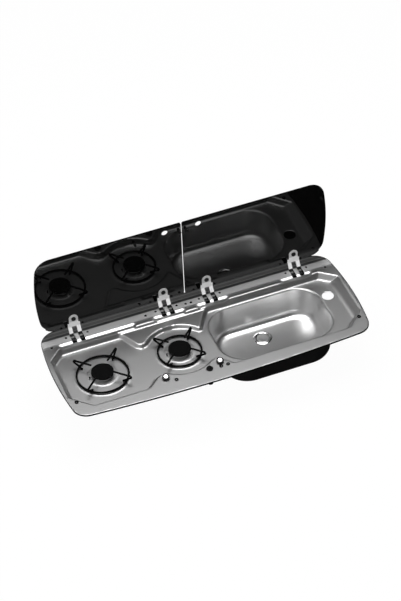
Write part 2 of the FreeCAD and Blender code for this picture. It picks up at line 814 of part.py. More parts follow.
for side, (x, ring) in burners.items():
    spot = (x, burner_y)

    # cast cup under the plate, with its mixing tube to the right
    tube_end = x + mm("cup_flange") + mm("venturi_length")
    cup_blank = fuse(
        f"burner_blank_{side}",
        [
            cylinder(f"burner_flange_{side}", (*spot, cup_top - mm("cup_flange_thick")), "sizes.cup_flange",
                     "sizes.cup_flange_thick"),
            cylinder(f"burner_cup_{side}", (*spot, cup_top - mm("cup_depth")), "sizes.cup_radius",
                     "sizes.cup_depth"),
            cylinder(f"burner_tube_{side}", (x, burner_y, jet_z), "sizes.venturi_radius",
                     "sizes.cup_flange + sizes.venturi_length", ALONG_X),
        ],
    )
    cup_hollow = [
        cylinder(f"burner_room_{side}", (*spot, cup_top - mm("cup_depth") + 2 * overlap),
                 "sizes.crown_bore", "sizes.cup_depth"),
        cylinder(f"burner_throat_{side}", (tube_end - mm("venturi_length"), burner_y, jet_z),
                 "sizes.jet_radius", "sizes.venturi_length + 1", ALONG_X),
    ]
    probe_holes = []
    for name, (px, py) in probe_spots(side).items():
        size = "sizes.probe_radius" if name == "thermocouple" else "sizes.electrode_radius"
        probe_holes.append(cylinder(f"{name}_clear_{side}", (px, py, cup_top - mm("cup_depth")),
                                    f"{size} + sizes.small_hole_gap", "sizes.cup_depth + 1"))
    keep(cut(f"burner_body_{side}", cup_blank, cup_hollow + probe_holes))

    # flame crown that stands in the plate's hole
    crown_height = "sizes.recess_depth + sizes.dish_depth - sizes.boss_rise + sizes.plate_sheet"
    crown_height += " - sizes.cap_top_depth - sizes.cap_thick"
    crown_blank = cut(
        f"crown_ring_{side}",
        cylinder(f"crown_blank_{side}", (*spot, cup_top), "sizes.crown_radius", crown_height),
        [cylinder(f"crown_bore_{side}", (*spot, cup_top - overlap), "sizes.crown_bore",
                  crown_height + " + 2")],
    )
    slots = []
    slot_count = int(mm("crown_slots"))
    for i in range(slot_count):
        angle = 360.0 * i / slot_count
        turn = FreeCAD.Rotation(vec(0, 0, 1), angle)
        offset = turn.multVec(vec(0, -mm("crown_slot") / 2, 0))
        corner = (x + offset.x, burner_y + offset.y, cap_under - mm("crown_slot_depth"))
        slots.append(box(f"crown_slot_{side}_{i}", corner, "sizes.crown_radius + 1", "sizes.crown_slot",
                         "sizes.crown_slot_depth + 1", turn))
    keep(cut(f"burner_crown_{side}", crown_blank, slots))

    # flat cap that lifts off
    cap_blank = cylinder(f"cap_blank_{side}", (*spot, cap_under), "sizes.cap_radius", "sizes.cap_thick")
    spigot = cylinder(f"cap_spigot_{side}", (*spot, cap_under - 2 * mm("cap_edge")),
                      "sizes.crown_bore - sizes.drain_plug_gap", "2 * sizes.cap_edge + 1")
    rim_ring = cut(
        f"cap_rim_{side}",
        cylinder(f"cap_rim_out_{side}", (*spot, cap_top - mm("cap_edge")), "sizes.cap_radius + 1",
                 "sizes.cap_edge + 1"),
        [primitive("Cone", f"cap_rim_in_{side}", (*spot, cap_top - mm("cap_edge")), None,
                   Radius1="sizes.cap_radius", Radius2="sizes.cap_radius - sizes.cap_edge",
                   Height="sizes.cap_edge")],
    )
    keep(cut(f"burner_cap_{side}", fuse(f"cap_whole_{side}", [cap_blank, spigot]), [rim_ring]))

    # flame probe and spark electrode
    probe_top = rim_top - mm("probe_top_depth")
    spots = probe_spots(side)
    keep(cylinder(f"thermocouple_{side}", (*spots["thermocouple"], probe_top - mm("probe_length")),
                  "sizes.probe_radius", "sizes.probe_length"))
    body_top = probe_top - mm("electrode_tip_length")
    keep(fuse(
        f"electrode_{side}",
        [
            cylinder(f"electrode_rod_{side}", (*spots["electrode"], body_top - mm("probe_length")),
                     "sizes.electrode_radius", "sizes.probe_length"),
            cylinder(f"electrode_tip_{side}", (*spots["electrode"], body_top - overlap),
                     "sizes.electrode_tip", "sizes.electrode_tip_length + 1"),
        ],
    ))

    # brass jet at the mouth of the mixing tube
    keep(cylinder(f"gas_jet_{side}", (tube_end - mm("jet_length") / 2, burner_y, jet_z),
                  "sizes.jet_radius - sizes.running_gap", "sizes.jet_length", ALONG_X))

    # wire pan support: a ring with four bent fingers
    ring_z = rim_top - mm("ring_depth")
    finger_z = rim_top + mm("finger_rise")
    foot_z = dish + mm("wire_radius") + mm("bumper_gap")
    tip = ring + mm("finger_reach")
    foot = ring - mm("foot_setback")
    wires = [Part.makeTorus(ring, mm("wire_radius"), vec(x, burner_y, ring_z))]
    for i in range(4):
        angle = math.radians(45 + 90 * i)
        ray = vec(math.cos(angle), math.sin(angle), 0)
        inner_end = vec(x, burner_y, finger_z) + ray * mm("finger_inner")
        outer_end = vec(x, burner_y, finger_z) + ray * tip
        low_end = vec(x, burner_y, foot_z) + ray * foot
        wires.append(bent_bar((inner_end, outer_end, low_end), mm("finger_bend"), mm("wire_radius")))
    keep(shaped(f"pan_support_{side}", wires[0].fuse(wires[1:])))


# Gas valves, knobs and pipes
manifold_y = knob_y - mm("valve_width") / 2 - mm("manifold_gap")
valve_top = rim_under
body_top = valve_top - mm("valve_neck_height")
body_low = body_top - mm("valve_height")
plug_top = rim_top - mm("plug_depth")
knob_under = rim_top + mm("knob_lift")

for side, x in knobs.items():
    spot = (x, knob_y)
    half_valve = mm("valve_width") / 2
    valve_blank = fuse(
        f"valve_blank_{side}",
        [
            box(f"valve_block_{side}", (x - half_valve, knob_y - half_valve, body_low),
                "sizes.valve_width", "sizes.valve_width", "sizes.valve_height"),
            cylinder(f"valve_neck_{side}", (*spot, body_top - overlap), "sizes.valve_neck",
                     "sizes.valve_neck_height + 1"),
        ],
    )
    bore_low = plug_top - mm("plug_length") - mm("running_gap")
    keep(cut(f"gas_valve_{side}", valve_blank, [
        cylinder(f"valve_bore_{side}", (*spot, bore_low), "sizes.plug_radius + sizes.running_gap",
                 "sizes.plug_length + sizes.plug_depth")]))

    # turning plug, hollow for the spindle
    keep(cut(f"valve_plug_{side}",
             cylinder(f"plug_blank_{side}", (*spot, plug_top - mm("plug_length")), "sizes.plug_radius",
                      "sizes.plug_length"),
             [cylinder(f"plug_bore_{side}", (*spot, plug_top - mm("plug_length") + overlap),
                       "sizes.spindle_radius + sizes.running_gap", "sizes.plug_length")]))

    spindle_top = knob_under + mm("spindle_grip")
    keep(cylinder(f"valve_spindle_{side}", (*spot, spindle_top - mm("spindle_length")),
                  "sizes.spindle_radius", "sizes.spindle_length"))
    knob_blank = fuse(
        f"knob_blank_{side}",
        [
            cylinder(f"knob_skirt_{side}", (*spot, knob_under), "sizes.knob_radius",
                     "sizes.knob_height / 2"),
            primitive("Cone", f"knob_top_{side}", (*spot, knob_under + mm("knob_height") / 2), None,
                      Radius1="sizes.knob_radius", Radius2="sizes.knob_grip",
                      Height="sizes.knob_height / 2"),
        ],
    )
    keep(cut(f"knob_{side}", knob_blank, [
        cylinder(f"knob_socket_{side}", (*spot, knob_under - overlap),
                 "sizes.spindle_radius + sizes.running_gap", "sizes.spindle_grip + 1")]))

    # supply tube from the valve's back to the jet
    jet_end = burners[side][0] + mm("cup_flange") + mm("venturi_length") + mm("jet_length") / 2
    start = vec(x, knob_y + half_valve, jet_z)
    corner = vec(x, burner_y, jet_z)
    end = vec(jet_end, burner_y, jet_z)
    keep(shaped(f"burner_pipe_{side}", bent_bar((start, corner, end), mm("pipe_bend"), mm("pipe_radius"))))

feed_z = (body_top + body_low) / 2
rail_left = knobs["left"] - mm("manifold_overhang")
tubes = [
    cylinder("manifold_tube", (rail_left, manifold_y, feed_z), "sizes.manifold_radius",
             f"{knobs['right'] - rail_left} + 2 * sizes.manifold_radius", ALONG_X),
    cylinder("manifold_inlet", (rail_left - mm("inlet_length"), manifold_y, feed_z), "sizes.inlet_radius",
             "sizes.inlet_length + 1", ALONG_X),
]
for side, x in knobs.items():
    tubes.append(cylinder(f"manifold_branch_{side}", (x, manifold_y, feed_z), "sizes.inlet_radius",
                          "sizes.manifold_gap", ALONG_Y))
keep(fuse("gas_manifold", tubes))

# Push-button igniter
button_low = rim_top + mm("button_rise") - mm("button_length")
igniter = fuse(
    "piezo_blank",
    [
        cylinder("piezo_barrel", (piezo_x, piezo_y, rim_top - mm("piezo_length")), "sizes.piezo_radius",
                 "sizes.piezo_length + 1"),
        cylinder("piezo_collar", (piezo_x, piezo_y, rim_top), "sizes.piezo_collar",
                 "sizes.piezo_collar_height"),
    ],
)
keep(cut("piezo_body", igniter, [
    cylinder("piezo_bore", (piezo_x, piezo_y, button_low - mm("button_travel") - mm("bumper_gap")),
             "sizes.button_radius + sizes.running_gap", "sizes.button_length + sizes.button_travel")]))
keep(cylinder("piezo_button", (piezo_x, piezo_y, button_low), "sizes.button_radius", "sizes.button_length"))


# Lids and hinges. The lids are laid out closed, then swung up about the hinge axis.
swung = FreeCAD.Placement(
    vec(0, 0, 0),
    FreeCAD.Rotation(vec(1, 0, 0), -mm("lid_open_angle")),
    vec(0, pivot_y, pivot_z),
)
glass_under = rim_top + mm("lid_lift")
glass_top = glass_under + mm("glass_thick")
glass_front = -half_depth + mm("glass_front_gap")
glass_back = half_depth - mm("glass_back_gap")
glass_side = half_length - mm("glass_side_gap")
split = mm("glass_split") / 2
screw_y = pivot_y - mm("arm_bend") - mm("tab_length") + mm("tab_width") / 2
tab_top = glass_under - mm("washer_thick")
tab_under = tab_top - mm("arm_thick")
# Landing places of the lids' feet, in front of the burners and of the bowl
bumper_spots = [
    (-half_length + mm("bumper_side_gap"), -half_depth + mm("bumper_front_gap")),
    (half_length - mm("bumper_side_gap"), -half_depth + mm("bumper_front_gap")),
    (knobs["left"] + mm("bumper_knob_gap"), -half_depth + mm("bumper_middle_gap")),
    (knobs["right"] - mm("bumper_hob_gap"), -half_depth + mm("bumper_middle_gap")),
    (knobs["right"] + mm("bumper_sink_gap"), -half_depth + mm("bumper_middle_gap")),
]


def lid_glass(name, hand, places):
    """A glass panel. hand is -1 for the left lid and 1 for the right one."""
    inner = hand * split
    outer = hand * glass_side
    round_out = mm("glass_corner")
    round_in = mm("glass_inner_corner")
    if hand < 0:
        bows = (mm("glass_bow"), 0, 0)
        radii = (round_out, round_in, round_in, round_out)
    else:
        bows = (0, mm("glass_bow"), 0)
        radii = (round_in, round_out, round_out, round_in)
    panel = bowed_panel(min(inner, outer), max(inner, outer), glass_front, glass_back, bows, radii,
                        glass_under, glass_top)
    low = glass_under - overlap
    high = glass_top + overlap
    finger_x = inner + hand * mm("finger_hole_side")
    finger_y = glass_front + mm("finger_hole_front")
    holes = [round_hole(finger_x, finger_y, mm("finger_hole"), low, high)]
    screw_hole = mm("screw_radius") + mm("small_hole_gap")
    holes.extend(round_hole(x, screw_y, screw_hole, low, high) for x in places)
    return shaped(name, panel.cut(holes))


def hinge_arm(tag, x):
    """A pressed steel arm: a round-ended tab under the glass and two legs to the pin."""
    half_tab = mm("tab_width") / 2
    parts = [
        box(f"tab_{tag}", (x - half_tab, screw_y, tab_under), "sizes.tab_width",
            "sizes.tab_length - sizes.tab_width / 2", "sizes.arm_thick"),
        cylinder(f"tab_end_{tag}", (x, screw_y, tab_under), "sizes.tab_width / 2", "sizes.arm_thick"),
        box(f"shoulder_{tag}",
            (x - mm("arm_width") / 2, pivot_y - mm("arm_bend") - mm("arm_shoulder"), tab_under),
            "sizes.arm_width", "sizes.arm_shoulder", "sizes.arm_thick"),
    ]
    rise = tab_under + mm("arm_thick") / 2 - pivot_z
    slope = FreeCAD.Rotation(vec(1, 0, 0), 180 - math.degrees(math.atan2(rise, mm("arm_bend"))))
    lift = slope.multVec(vec(0, 0, -mm("arm_thick") / 2))
    drop = "sizes.pivot_offset - sizes.washer_thick - sizes.arm_thick / 2"
    length = f"sqrt(sizes.arm_bend^2 + ({drop})^2) + sizes.arm_thick / 4"
    for i, leg in enumerate(leg_places(x)):
        parts.append(box(f"leg_{tag}_{i}", (leg, pivot_y + lift.y, pivot_z + lift.z),
                         "sizes.arm_leg", length, "sizes.arm_thick", slope))
        parts.append(cylinder(f"eye_{tag}_{i}", (leg, pivot_y, pivot_z), "sizes.eye_radius",
                              "sizes.arm_leg", ALONG_X))
    whole = fuse(f"arm_blank_{tag}", parts)
    holes = [
        cylinder(f"arm_bore_{tag}", (x - mm("arm_width"), pivot_y, pivot_z),
                 "sizes.pin_radius + sizes.running_gap", "2 * sizes.arm_width", ALONG_X),
        cylinder(f"arm_hole_{tag}", (x, screw_y, tab_under - overlap),
                 "sizes.screw_radius + sizes.small_hole_gap", "sizes.arm_thick + 2"),
    ]
    return cut(f"hinge_arm_{tag}", whole, holes)


lids = {"hob": (-1, ("a", "b")), "sink": (1, ("c", "d"))}
for lid, (hand, tags) in lids.items():
    places = [hinges[tag] for tag in tags]
    lid_pieces = [lid_glass(f"{lid}_lid_glass", hand, places)]
    screws = []
    washers = []
    nuts = []
    for tag, x in zip(tags, places):
        lid_pieces.append(hinge_arm(tag, x))
        screws.append(fuse(
            f"lid_screw_{tag}",
            [
                cylinder(f"screw_head_{tag}", (x, screw_y, tab_under - mm("screw_head_height")),
                         "sizes.screw_head", "sizes.screw_head_height"),
                cylinder(f"screw_shank_{tag}", (x, screw_y, tab_under - overlap), "sizes.screw_radius",
                         "sizes.arm_thick + sizes.washer_thick + sizes.glass_thick + 1"),
            ],
        ))
        washers.append(cut(
            f"lid_washer_{tag}",
            cylinder(f"washer_disc_{tag}", (x, screw_y, tab_top), "sizes.washer_radius",
                     "sizes.washer_thick"),
            [cylinder(f"washer_bore_{tag}", (x, screw_y, tab_top - overlap),
                      "sizes.screw_radius + sizes.small_hole_gap", "sizes.washer_thick + 2")],
        ))
        nuts.append(cylinder(f"cap_nut_{tag}", (x, screw_y, glass_top), "sizes.cap_nut_radius",
                             "sizes.cap_nut_height"))
    lid_pieces.append(group(f"{lid}_lid_screws", screws))
    lid_pieces.append(group(f"{lid}_lid_washers", washers))
    lid_pieces.append(group(f"{lid}_lid_cap_nuts", nuts))
    feet = [
        cylinder(f"{lid}_foot_{i}", (x, y, rim_top + mm("bumper_height") + mm("bumper_gap")),
                 "sizes.lid_foot_radius", "sizes.lid_lift - sizes.bumper_height - sizes.bumper_gap")
        for i, (x, y) in enumerate(bumper_spots)
        if x * hand > 0
    ]
    lid_pieces.append(group(f"{lid}_lid_feet", feet))
    for piece in lid_pieces:
        piece.Placement = swung
        keep(piece)

# Hinge brackets under the rail, their pins and rivets
ear_gap = mm("arm_width") / 2 + mm("slot_gap") + overlap / 2
bracket_top = rim_under
ear_low = pivot_z - mm("bracket_drop") - mm("bracket_sheet")
ear_front = pivot_y - mm("bracket_depth") / 3
wing_depth = ear_front + mm("bracket_depth") - pocket_back - overlap
pins = []
rivets = []
for tag, x in hinges.items():
    wing_low = bracket_top - mm("bracket_sheet")
    ear_height = f"{wing_low - ear_low}"
    parts = []
    for i, near in enumerate((x - ear_gap - mm("bracket_sheet"), x + ear_gap)):
        parts.append(box(f"ear_{tag}_{i}", (near, ear_front, ear_low), "sizes.bracket_sheet",
                         "sizes.bracket_depth", ear_height))
        outer = near - mm("bracket_wing") + mm("bracket_sheet") if i == 0 else near
        parts.append(box(f"wing_{tag}_{i}", (outer, pocket_back + overlap, wing_low), "sizes.bracket_wing",
                         f"{wing_depth}", "sizes.bracket_sheet"))
        rivet_x = x + (2 * i - 1) * mm("rivet_side")
        rivets.append(cylinder(f"rivet_{tag}_{i}", (rivet_x, pivot_y + 4 * overlap, rim_top),
                               "sizes.rivet_radius", "sizes.rivet_height"))
    bridge_y = ear_front + mm("bracket_depth") - mm("bracket_sheet")
    parts.append(box(f"bridge_{tag}", (x - ear_gap, bridge_y, ear_low), f"{2 * ear_gap}",
                     "sizes.bracket_sheet", ear_height))
    pan_front = ear_front - mm("bracket_drop")
    parts.append(box(f"pan_{tag}", (x - ear_gap - mm("bracket_sheet"), pan_front, ear_low),
                     f"{2 * ear_gap + 2 * mm('bracket_sheet')}",
                     f"{bridge_y + mm('bracket_sheet') - pan_front}", "sizes.bracket_sheet"))
    bore = cylinder(f"bracket_bore_{tag}", (x - mm("arm_width"), pivot_y, pivot_z),
                    "sizes.pin_radius + sizes.running_gap", "2 * sizes.arm_width", ALONG_X)
    keep(cut(f"hinge_bracket_{tag}", fuse(f"bracket_blank_{tag}", parts), [bore]))
    pin_half = ear_gap + 2 * mm("bracket_sheet")
    pins.append(cylinder(f"pin_{tag}", (x - pin_half, pivot_y, pivot_z), "sizes.pin_radius",
                         f"{2 * pin_half}", ALONG_X))
keep(group("hinge_pins", pins))
keep(group("hinge_rivets", rivets))

# Rubber rings on the rim, where the feet of the closed lids land, and screws along the rail
bumpers = [
    cut(
        f"bumper_{i}",
        cylinder(f"bumper_disc_{i}", (x, y, rim_top), "sizes.bumper_radius", "sizes.bumper_height"),
        [cylinder(f"bumper_hole_{i}", (x, y, rim_top - overlap), "sizes.bumper_bore",
                  "sizes.bumper_height + 2")],
    )
    for i, (x, y) in enumerate(bumper_spots)
]
keep(group("lid_bumpers", bumpers))

screw_spots = [
    (-half_length + mm("rail_corner_side"), half_depth - mm("rail_corner_back")),
    (half_length - mm("rail_corner_side"), half_depth - mm("rail_corner_back")),
    (hinges["b"] - 2 * mm("rivet_side"), half_depth - mm("rail_screw_back")),
    (-2 * mm("rail_screw_radius"), half_depth - mm("rail_screw_back")),
    (2 * mm("rail_screw_radius"), half_depth - mm("rail_screw_back")),
]
rail_screws = [
    cylinder(f"rail_screw_{i}", (x, y, rim_top), "sizes.rail_screw_radius", "sizes.rail_screw_height")
    for i, (x, y) in enumerate(screw_spots)
]
keep(group("rail_screws", rail_screws))

# Fixing tabs under the rim, screwed sideways into the edge of the worktop's cut-out
tabs = []
for i, (x, hand) in enumerate(((-0.6, -1), (0.0, -1), (0.6, -1), (-0.6, 1), (0.0, 1), (0.6, 1))):
    tab_y = hand * (half_depth - mm("fixing_inset")) - mm("fixing_sheet") / 2
    tab_x = x * half_length
    tabs.append(cut(
        f"fixing_tab_{i}",
        box(f"fixing_plate_{i}", (tab_x - mm("fixing_width") / 2, tab_y, rim_under - mm("fixing_drop")),
            "sizes.fixing_width", "sizes.fixing_sheet", "sizes.fixing_drop"),
        [cylinder(f"fixing_hole_{i}", (tab_x, tab_y - overlap, rim_under - 2 * mm("fixing_drop") / 3),
                  "sizes.tab_hole", "sizes.fixing_sheet + 2", ALONG_Y)],
    ))
keep(group("fixing_tabs", tabs))

doc.recompute()

# Every object has to be sound before anything is written
faults = [o.Name for o in doc.Objects if "Invalid" in o.State or "Error" in o.State]
faults += [p.Label for p in pieces if p.Shape.isNull() or not p.Shape.isValid()]
if faults:
    raise RuntimeError("failed objects: " + ", ".join(faults))

os.makedirs("parts", exist_ok=True)
for piece in pieces:
    piece.Shape.exportStep(f"parts/{piece.Label}.step")
    print(piece.Label, len(piece.Shape.Solids), round(piece.Shape.Volume / 1000, 2))
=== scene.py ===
import json
import math

import bmesh
import bpy
import numpy as np
from mathutils import Matrix, Vector


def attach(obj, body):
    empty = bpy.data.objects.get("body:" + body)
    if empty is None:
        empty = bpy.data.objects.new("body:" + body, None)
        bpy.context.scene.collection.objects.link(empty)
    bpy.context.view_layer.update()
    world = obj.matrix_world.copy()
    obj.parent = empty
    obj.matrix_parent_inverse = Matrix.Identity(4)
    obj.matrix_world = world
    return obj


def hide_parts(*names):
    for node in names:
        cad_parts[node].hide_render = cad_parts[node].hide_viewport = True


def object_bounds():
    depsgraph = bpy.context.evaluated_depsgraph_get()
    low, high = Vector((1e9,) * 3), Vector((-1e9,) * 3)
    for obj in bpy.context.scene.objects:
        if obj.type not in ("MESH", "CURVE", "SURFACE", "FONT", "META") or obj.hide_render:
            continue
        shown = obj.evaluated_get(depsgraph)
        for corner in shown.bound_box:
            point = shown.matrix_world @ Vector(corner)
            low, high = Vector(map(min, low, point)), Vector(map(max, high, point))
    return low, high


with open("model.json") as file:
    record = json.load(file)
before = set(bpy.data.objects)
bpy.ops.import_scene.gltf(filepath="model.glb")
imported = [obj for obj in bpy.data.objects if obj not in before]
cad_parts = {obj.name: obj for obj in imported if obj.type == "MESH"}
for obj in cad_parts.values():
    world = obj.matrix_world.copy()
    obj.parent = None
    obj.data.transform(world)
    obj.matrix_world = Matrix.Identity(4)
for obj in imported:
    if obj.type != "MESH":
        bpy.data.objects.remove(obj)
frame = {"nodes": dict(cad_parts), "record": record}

cadBox = [list(corner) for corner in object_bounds()]
milli = 0.001  # sizes below are in millimetres, in the CAD frame
nodes = frame["nodes"]
scene = bpy.context.scene
print("frame loaded,", len(nodes), "nodes")


# Shader values. Arithmetic on one of them adds Math nodes.
class Value:
    def __init__(self, paint, socket):
        self.paint = paint
        self.socket = socket

    def calc(self, operation, first, second):
        return self.paint.node("ShaderNodeMath", {"operation": operation}, {0: first, 1: second})

    def __add__(self, other):
        return self.calc("ADD", self, other)

    def __radd__(self, other):
        return self.calc("ADD", other, self)

    def __sub__(self, other):
        return self.calc("SUBTRACT", self, other)

    def __rsub__(self, other):
        return self.calc("SUBTRACT", other, self)

    def __mul__(self, other):
        return self.calc("MULTIPLY", self, other)

    def __rmul__(self, other):
        return self.calc("MULTIPLY", other, self)

    def above(self, other):
        return self.calc("MAXIMUM", self, other)


# A node tree that is filled by one method. Settings come first, then values or links.
class Paint:
    def __init__(self, owner):
        owner.use_nodes = True
        self.owner = owner
        self.tree = owner.node_tree
        self.tree.nodes.clear()

    def node(self, kind, settings=None, sockets=None, out=0):
        made = self.tree.nodes.new(kind)
        for key, setting in (settings or {}).items():
            if key == "stops":
                ramp = made.color_ramp.elements
                while len(ramp) < len(setting):
                    ramp.new(1.0)
                for stop, (place, tone) in zip(ramp, setting):
                    stop.position = place
                    stop.color = tone
            else:
                setattr(made, key, setting)
        for key, fed in (sockets or {}).items():
            if isinstance(fed, Value):
                self.tree.links.new(fed.socket, made.inputs[key])
            else:
                made.inputs[key].default_value = fed
        return Value(self, made.outputs[out]) if made.outputs else None

    def mix(self, share, first, second, blend="MIX"):
        colours = {0: share, 6: first, 7: second}  # a Mix node's colours go in at 6 and 7 and come out at 2
        return self.node("ShaderNodeMix", {"data_type": "RGBA", "blend_type": blend}, colours, 2)

    def noise(self, place, stretch, detail):
        stretched = self.node("ShaderNodeMapping", {}, {"Vector": place, "Scale": stretch})
        return self.node("ShaderNodeTexNoise", {},
                         {"Vector": stretched, "Scale": 1.0, "Detail": detail, "Roughness": 0.55})

    def along(self, place, axis):
        return self.node("ShaderNodeSeparateXYZ", {}, {0: place}, axis)

    def surface(self, shader):
        kind = "World" if isinstance(self.owner, bpy.types.World) else "Material"
        self.node("ShaderNodeOutput" + kind, {}, {"Surface": shader})
        return self.owner


def grey(level):
    return (level, level, level, 1.0)


# Tones that change along one axis: the axis, its start and length in metres,
# and stops of (share of the length, tone). Both are painted light: the arms are painted shade between their
# bends, the rail is painted shade behind its crest.
# painted shade on the arms: near black below 8.5 mm where they go into the slots, a grey band of painted
# highlight from -1.5 to 1.5 mm, and darker above 45 mm
armPaintedShade = ("Z", -0.01, 0.11, (
    (0.0, 0.01), (0.07, 0.01), (0.077, 0.3), (0.105, 0.3), (0.11, 0.01),
    (0.168, 0.01), (0.173, 1.0), (0.47, 1.0), (0.50, 0.66), (1.0, 0.66)))
# painted shade on the rail: dark behind y = 152 mm with two lighter lines of painted highlight, and darker in
# front of y = 120 mm
railPaintedShade = ("Y", 0.110, 0.08, (
    (0.0, 0.73), (0.10, 0.73), (0.13, 1.0), (0.50, 1.0), (0.54, 0.31), (0.64, 0.29),
    (0.66, 0.62), (0.69, 0.26), (0.81, 0.25), (0.84, 0.51), (0.86, 0.25), (1.0, 0.25)))
railRoughness = ("Y", 0.110, 0.08, (
    (0.0, 0.0), (0.20, 0.0), (0.23, 0.22), (0.50, 0.22), (0.54, 0.0)))

# Every finish: fine grain stretched along one way, broad cloudiness, and a small bump.
# grain and cloud are noise scales per metre, spread is how far the tone moves with the grain.
finishes = {
    "pressedSteel": {
        "tone": 0.80, "spread": 0.03, "metal": 1.0, "rough": 0.29, "roughSpread": 0.05,
        "grain": (60, 1300, 1300), "cloud": (9, 11, 11), "bump": 0.02, "depth": 0.00004},
    "deckSteelPaintedShade": {
        "tone": 0.90, "spread": 0.04, "metal": 1.0, "rough": 0.37, "roughSpread": 0.05,
        "grain": (60, 1300, 1300), "cloud": (9, 11, 11), "bump": 0.02, "depth": 0.00004,
        "bands": railPaintedShade, "roughBands": railRoughness},
    "brightSteel": {
        "tone": 0.72, "spread": 0.05, "metal": 1.0, "rough": 0.2, "roughSpread": 0.08,
        "grain": (900, 900, 200), "cloud": (30, 30, 30), "bump": 0.03, "depth": 0.00005},
    "darkSteel": {
        "tone": 0.03, "spread": 0.01, "metal": 0.6, "rough": 0.45, "roughSpread": 0.1, "gloss": 0.2,
        "grain": (900, 900, 900), "cloud": (60, 60, 60), "bump": 0.05, "depth": 0.00005},
    "satinZincPaintedShade": {
        "tone": 0.93, "spread": 0.04, "metal": 0.0, "rough": 0.42, "roughSpread": 0.08,
        "grain": (700, 700, 700), "cloud": (30, 30, 30), "bump": 0.04, "depth": 0.00005,
        "bands": armPaintedShade},
    "castAluminium": {
        "tone": 0.62, "spread": 0.06, "metal": 1.0, "rough": 0.55, "roughSpread": 0.12,
        "grain": (1100, 1100, 1100), "cloud": (35, 35, 35), "bump": 0.25, "depth": 0.0002},
    "brass": {
        "tone": 0.5, "spread": 0.05, "metal": 1.0, "rough": 0.32, "roughSpread": 0.1,
        "grain": (900, 900, 120), "cloud": (30, 30, 30), "bump": 0.06, "depth": 0.00008,
        "tint": (1.0, 0.78, 0.42)},
    "whiteCeramic": {
        "tone": 0.8, "spread": 0.03, "metal": 0.0, "rough": 0.2, "roughSpread": 0.05,
        "grain": (800, 800, 800), "cloud": (90, 90, 90), "bump": 0.03, "depth": 0.00005},
    "blackRubber": {
        "tone": 0.005, "spread": 0.003, "metal": 0.0, "rough": 0.7, "roughSpread": 0.12, "gloss": 0.15,
        "grain": (1500, 1500, 1500), "cloud": (40, 40, 40), "bump": 0.12, "depth": 0.0001},
    "blackPlastic": {
        "tone": 0.006, "spread": 0.003, "metal": 0.0, "rough": 0.38, "roughSpread": 0.1, "gloss": 0.15,
        "grain": (2200, 2200, 2200), "cloud": (60, 60, 60), "bump": 0.08, "depth": 0.00006},
    "blackEnamel": {
        "tone": 0.0025, "spread": 0.002, "metal": 0.0, "rough": 0.8, "roughSpread": 0.1, "gloss": 0.06,
        "grain": (1700, 1700, 1700), "cloud": (45, 45, 45), "bump": 0.15, "depth": 0.0001},
    "jacket": {
        "tone": 0.004, "spread": 0.003, "metal": 0.0, "rough": 0.75, "roughSpread": 0.1,
        "grain": (700, 700, 700), "cloud": (20, 20, 20), "bump": 0.3, "depth": 0.0004},
}


def banded(paint, place, bands):
    # a ramp of greys along one axis, from a start over a length
    axis, start, length, stops = bands
    share = (paint.along(place, axis) - start) * (1 / length)
    tones = [(at, grey(tone)) for at, tone in stops]
    return paint.node("ShaderNodeValToRGB", {"stops": tones}, {0: share})


texture = {"grainDetail": 3.0, "cloudDetail": 4.0, "grainShare": 0.6}  # the same in every finish


def grainedFinish(name, look):
    paint = Paint(bpy.data.materials.new(name))
    place = paint.node("ShaderNodeTexCoord", out="Object")
    grain = paint.noise(place, look["grain"], texture["grainDetail"])
    cloud = paint.noise(place, look["cloud"], texture["cloudDetail"])
    tint = look.get("tint", (1.0, 1.0, 1.0))
    dark = tuple((look["tone"] - look["spread"]) * part for part in tint) + (1.0,)
    light = tuple((look["tone"] + look["spread"]) * part for part in tint) + (1.0,)
    colour = paint.mix(texture["grainShare"] * grain + (1 - texture["grainShare"]) * cloud, dark, light)
    rough = look["rough"] + look["roughSpread"] * (0.5 * grain + 0.5 * cloud - 0.5)
    # the bands multiply painted shade and painted highlight into the arm and deck colours
    if "bands" in look:
        colour = paint.mix(1.0, colour, banded(paint, place, look["bands"]), "MULTIPLY")
    if "roughBands" in look:
        rough = rough + banded(paint, place, look["roughBands"])
    bump = paint.node("ShaderNodeBump", {},
                      {"Strength": look["bump"], "Distance": look["depth"], "Height": grain})
    shader = paint.node("ShaderNodeBsdfPrincipled", {}, {
        "Base Color": colour, "Metallic": look["metal"], "Roughness": rough, "Normal": bump,
        "Specular IOR Level": look.get("gloss", 0.5)})
    return paint.surface(shader)


# Black safety glass: a deep gloss that mirrors the hob, with a trace of fine smears.
glassLook = {"tone": 0.002, "rough": 0.015, "smear": 0.02, "index": 1.55,
             "smearGrain": (22, 22, 9), "smearDetail": 5.0, "fleckGrain": (240, 240, 240), "fleckDetail": 2.0,
             "fleckDark": 0.6, "fleckLight": 1.4}


def blackGlassFinish():
    paint = Paint(bpy.data.materials.new("blackGlass"))
    place = paint.node("ShaderNodeTexCoord", out="Object")
    smear = paint.noise(place, glassLook["smearGrain"], glassLook["smearDetail"])
    fleck = paint.noise(place, glassLook["fleckGrain"], glassLook["fleckDetail"])
    dark, light = (grey(glassLook["tone"] * glassLook[share]) for share in ("fleckDark", "fleckLight"))
    colour = paint.mix(fleck, dark, light)
    rough = glassLook["rough"] + glassLook["smear"] * (smear - 0.5).above(0.0)
    shader = paint.node("ShaderNodeBsdfPrincipled", {}, {
        "Base Color": colour, "Roughness": rough, "IOR": glassLook["index"]})
    return paint.surface(shader)


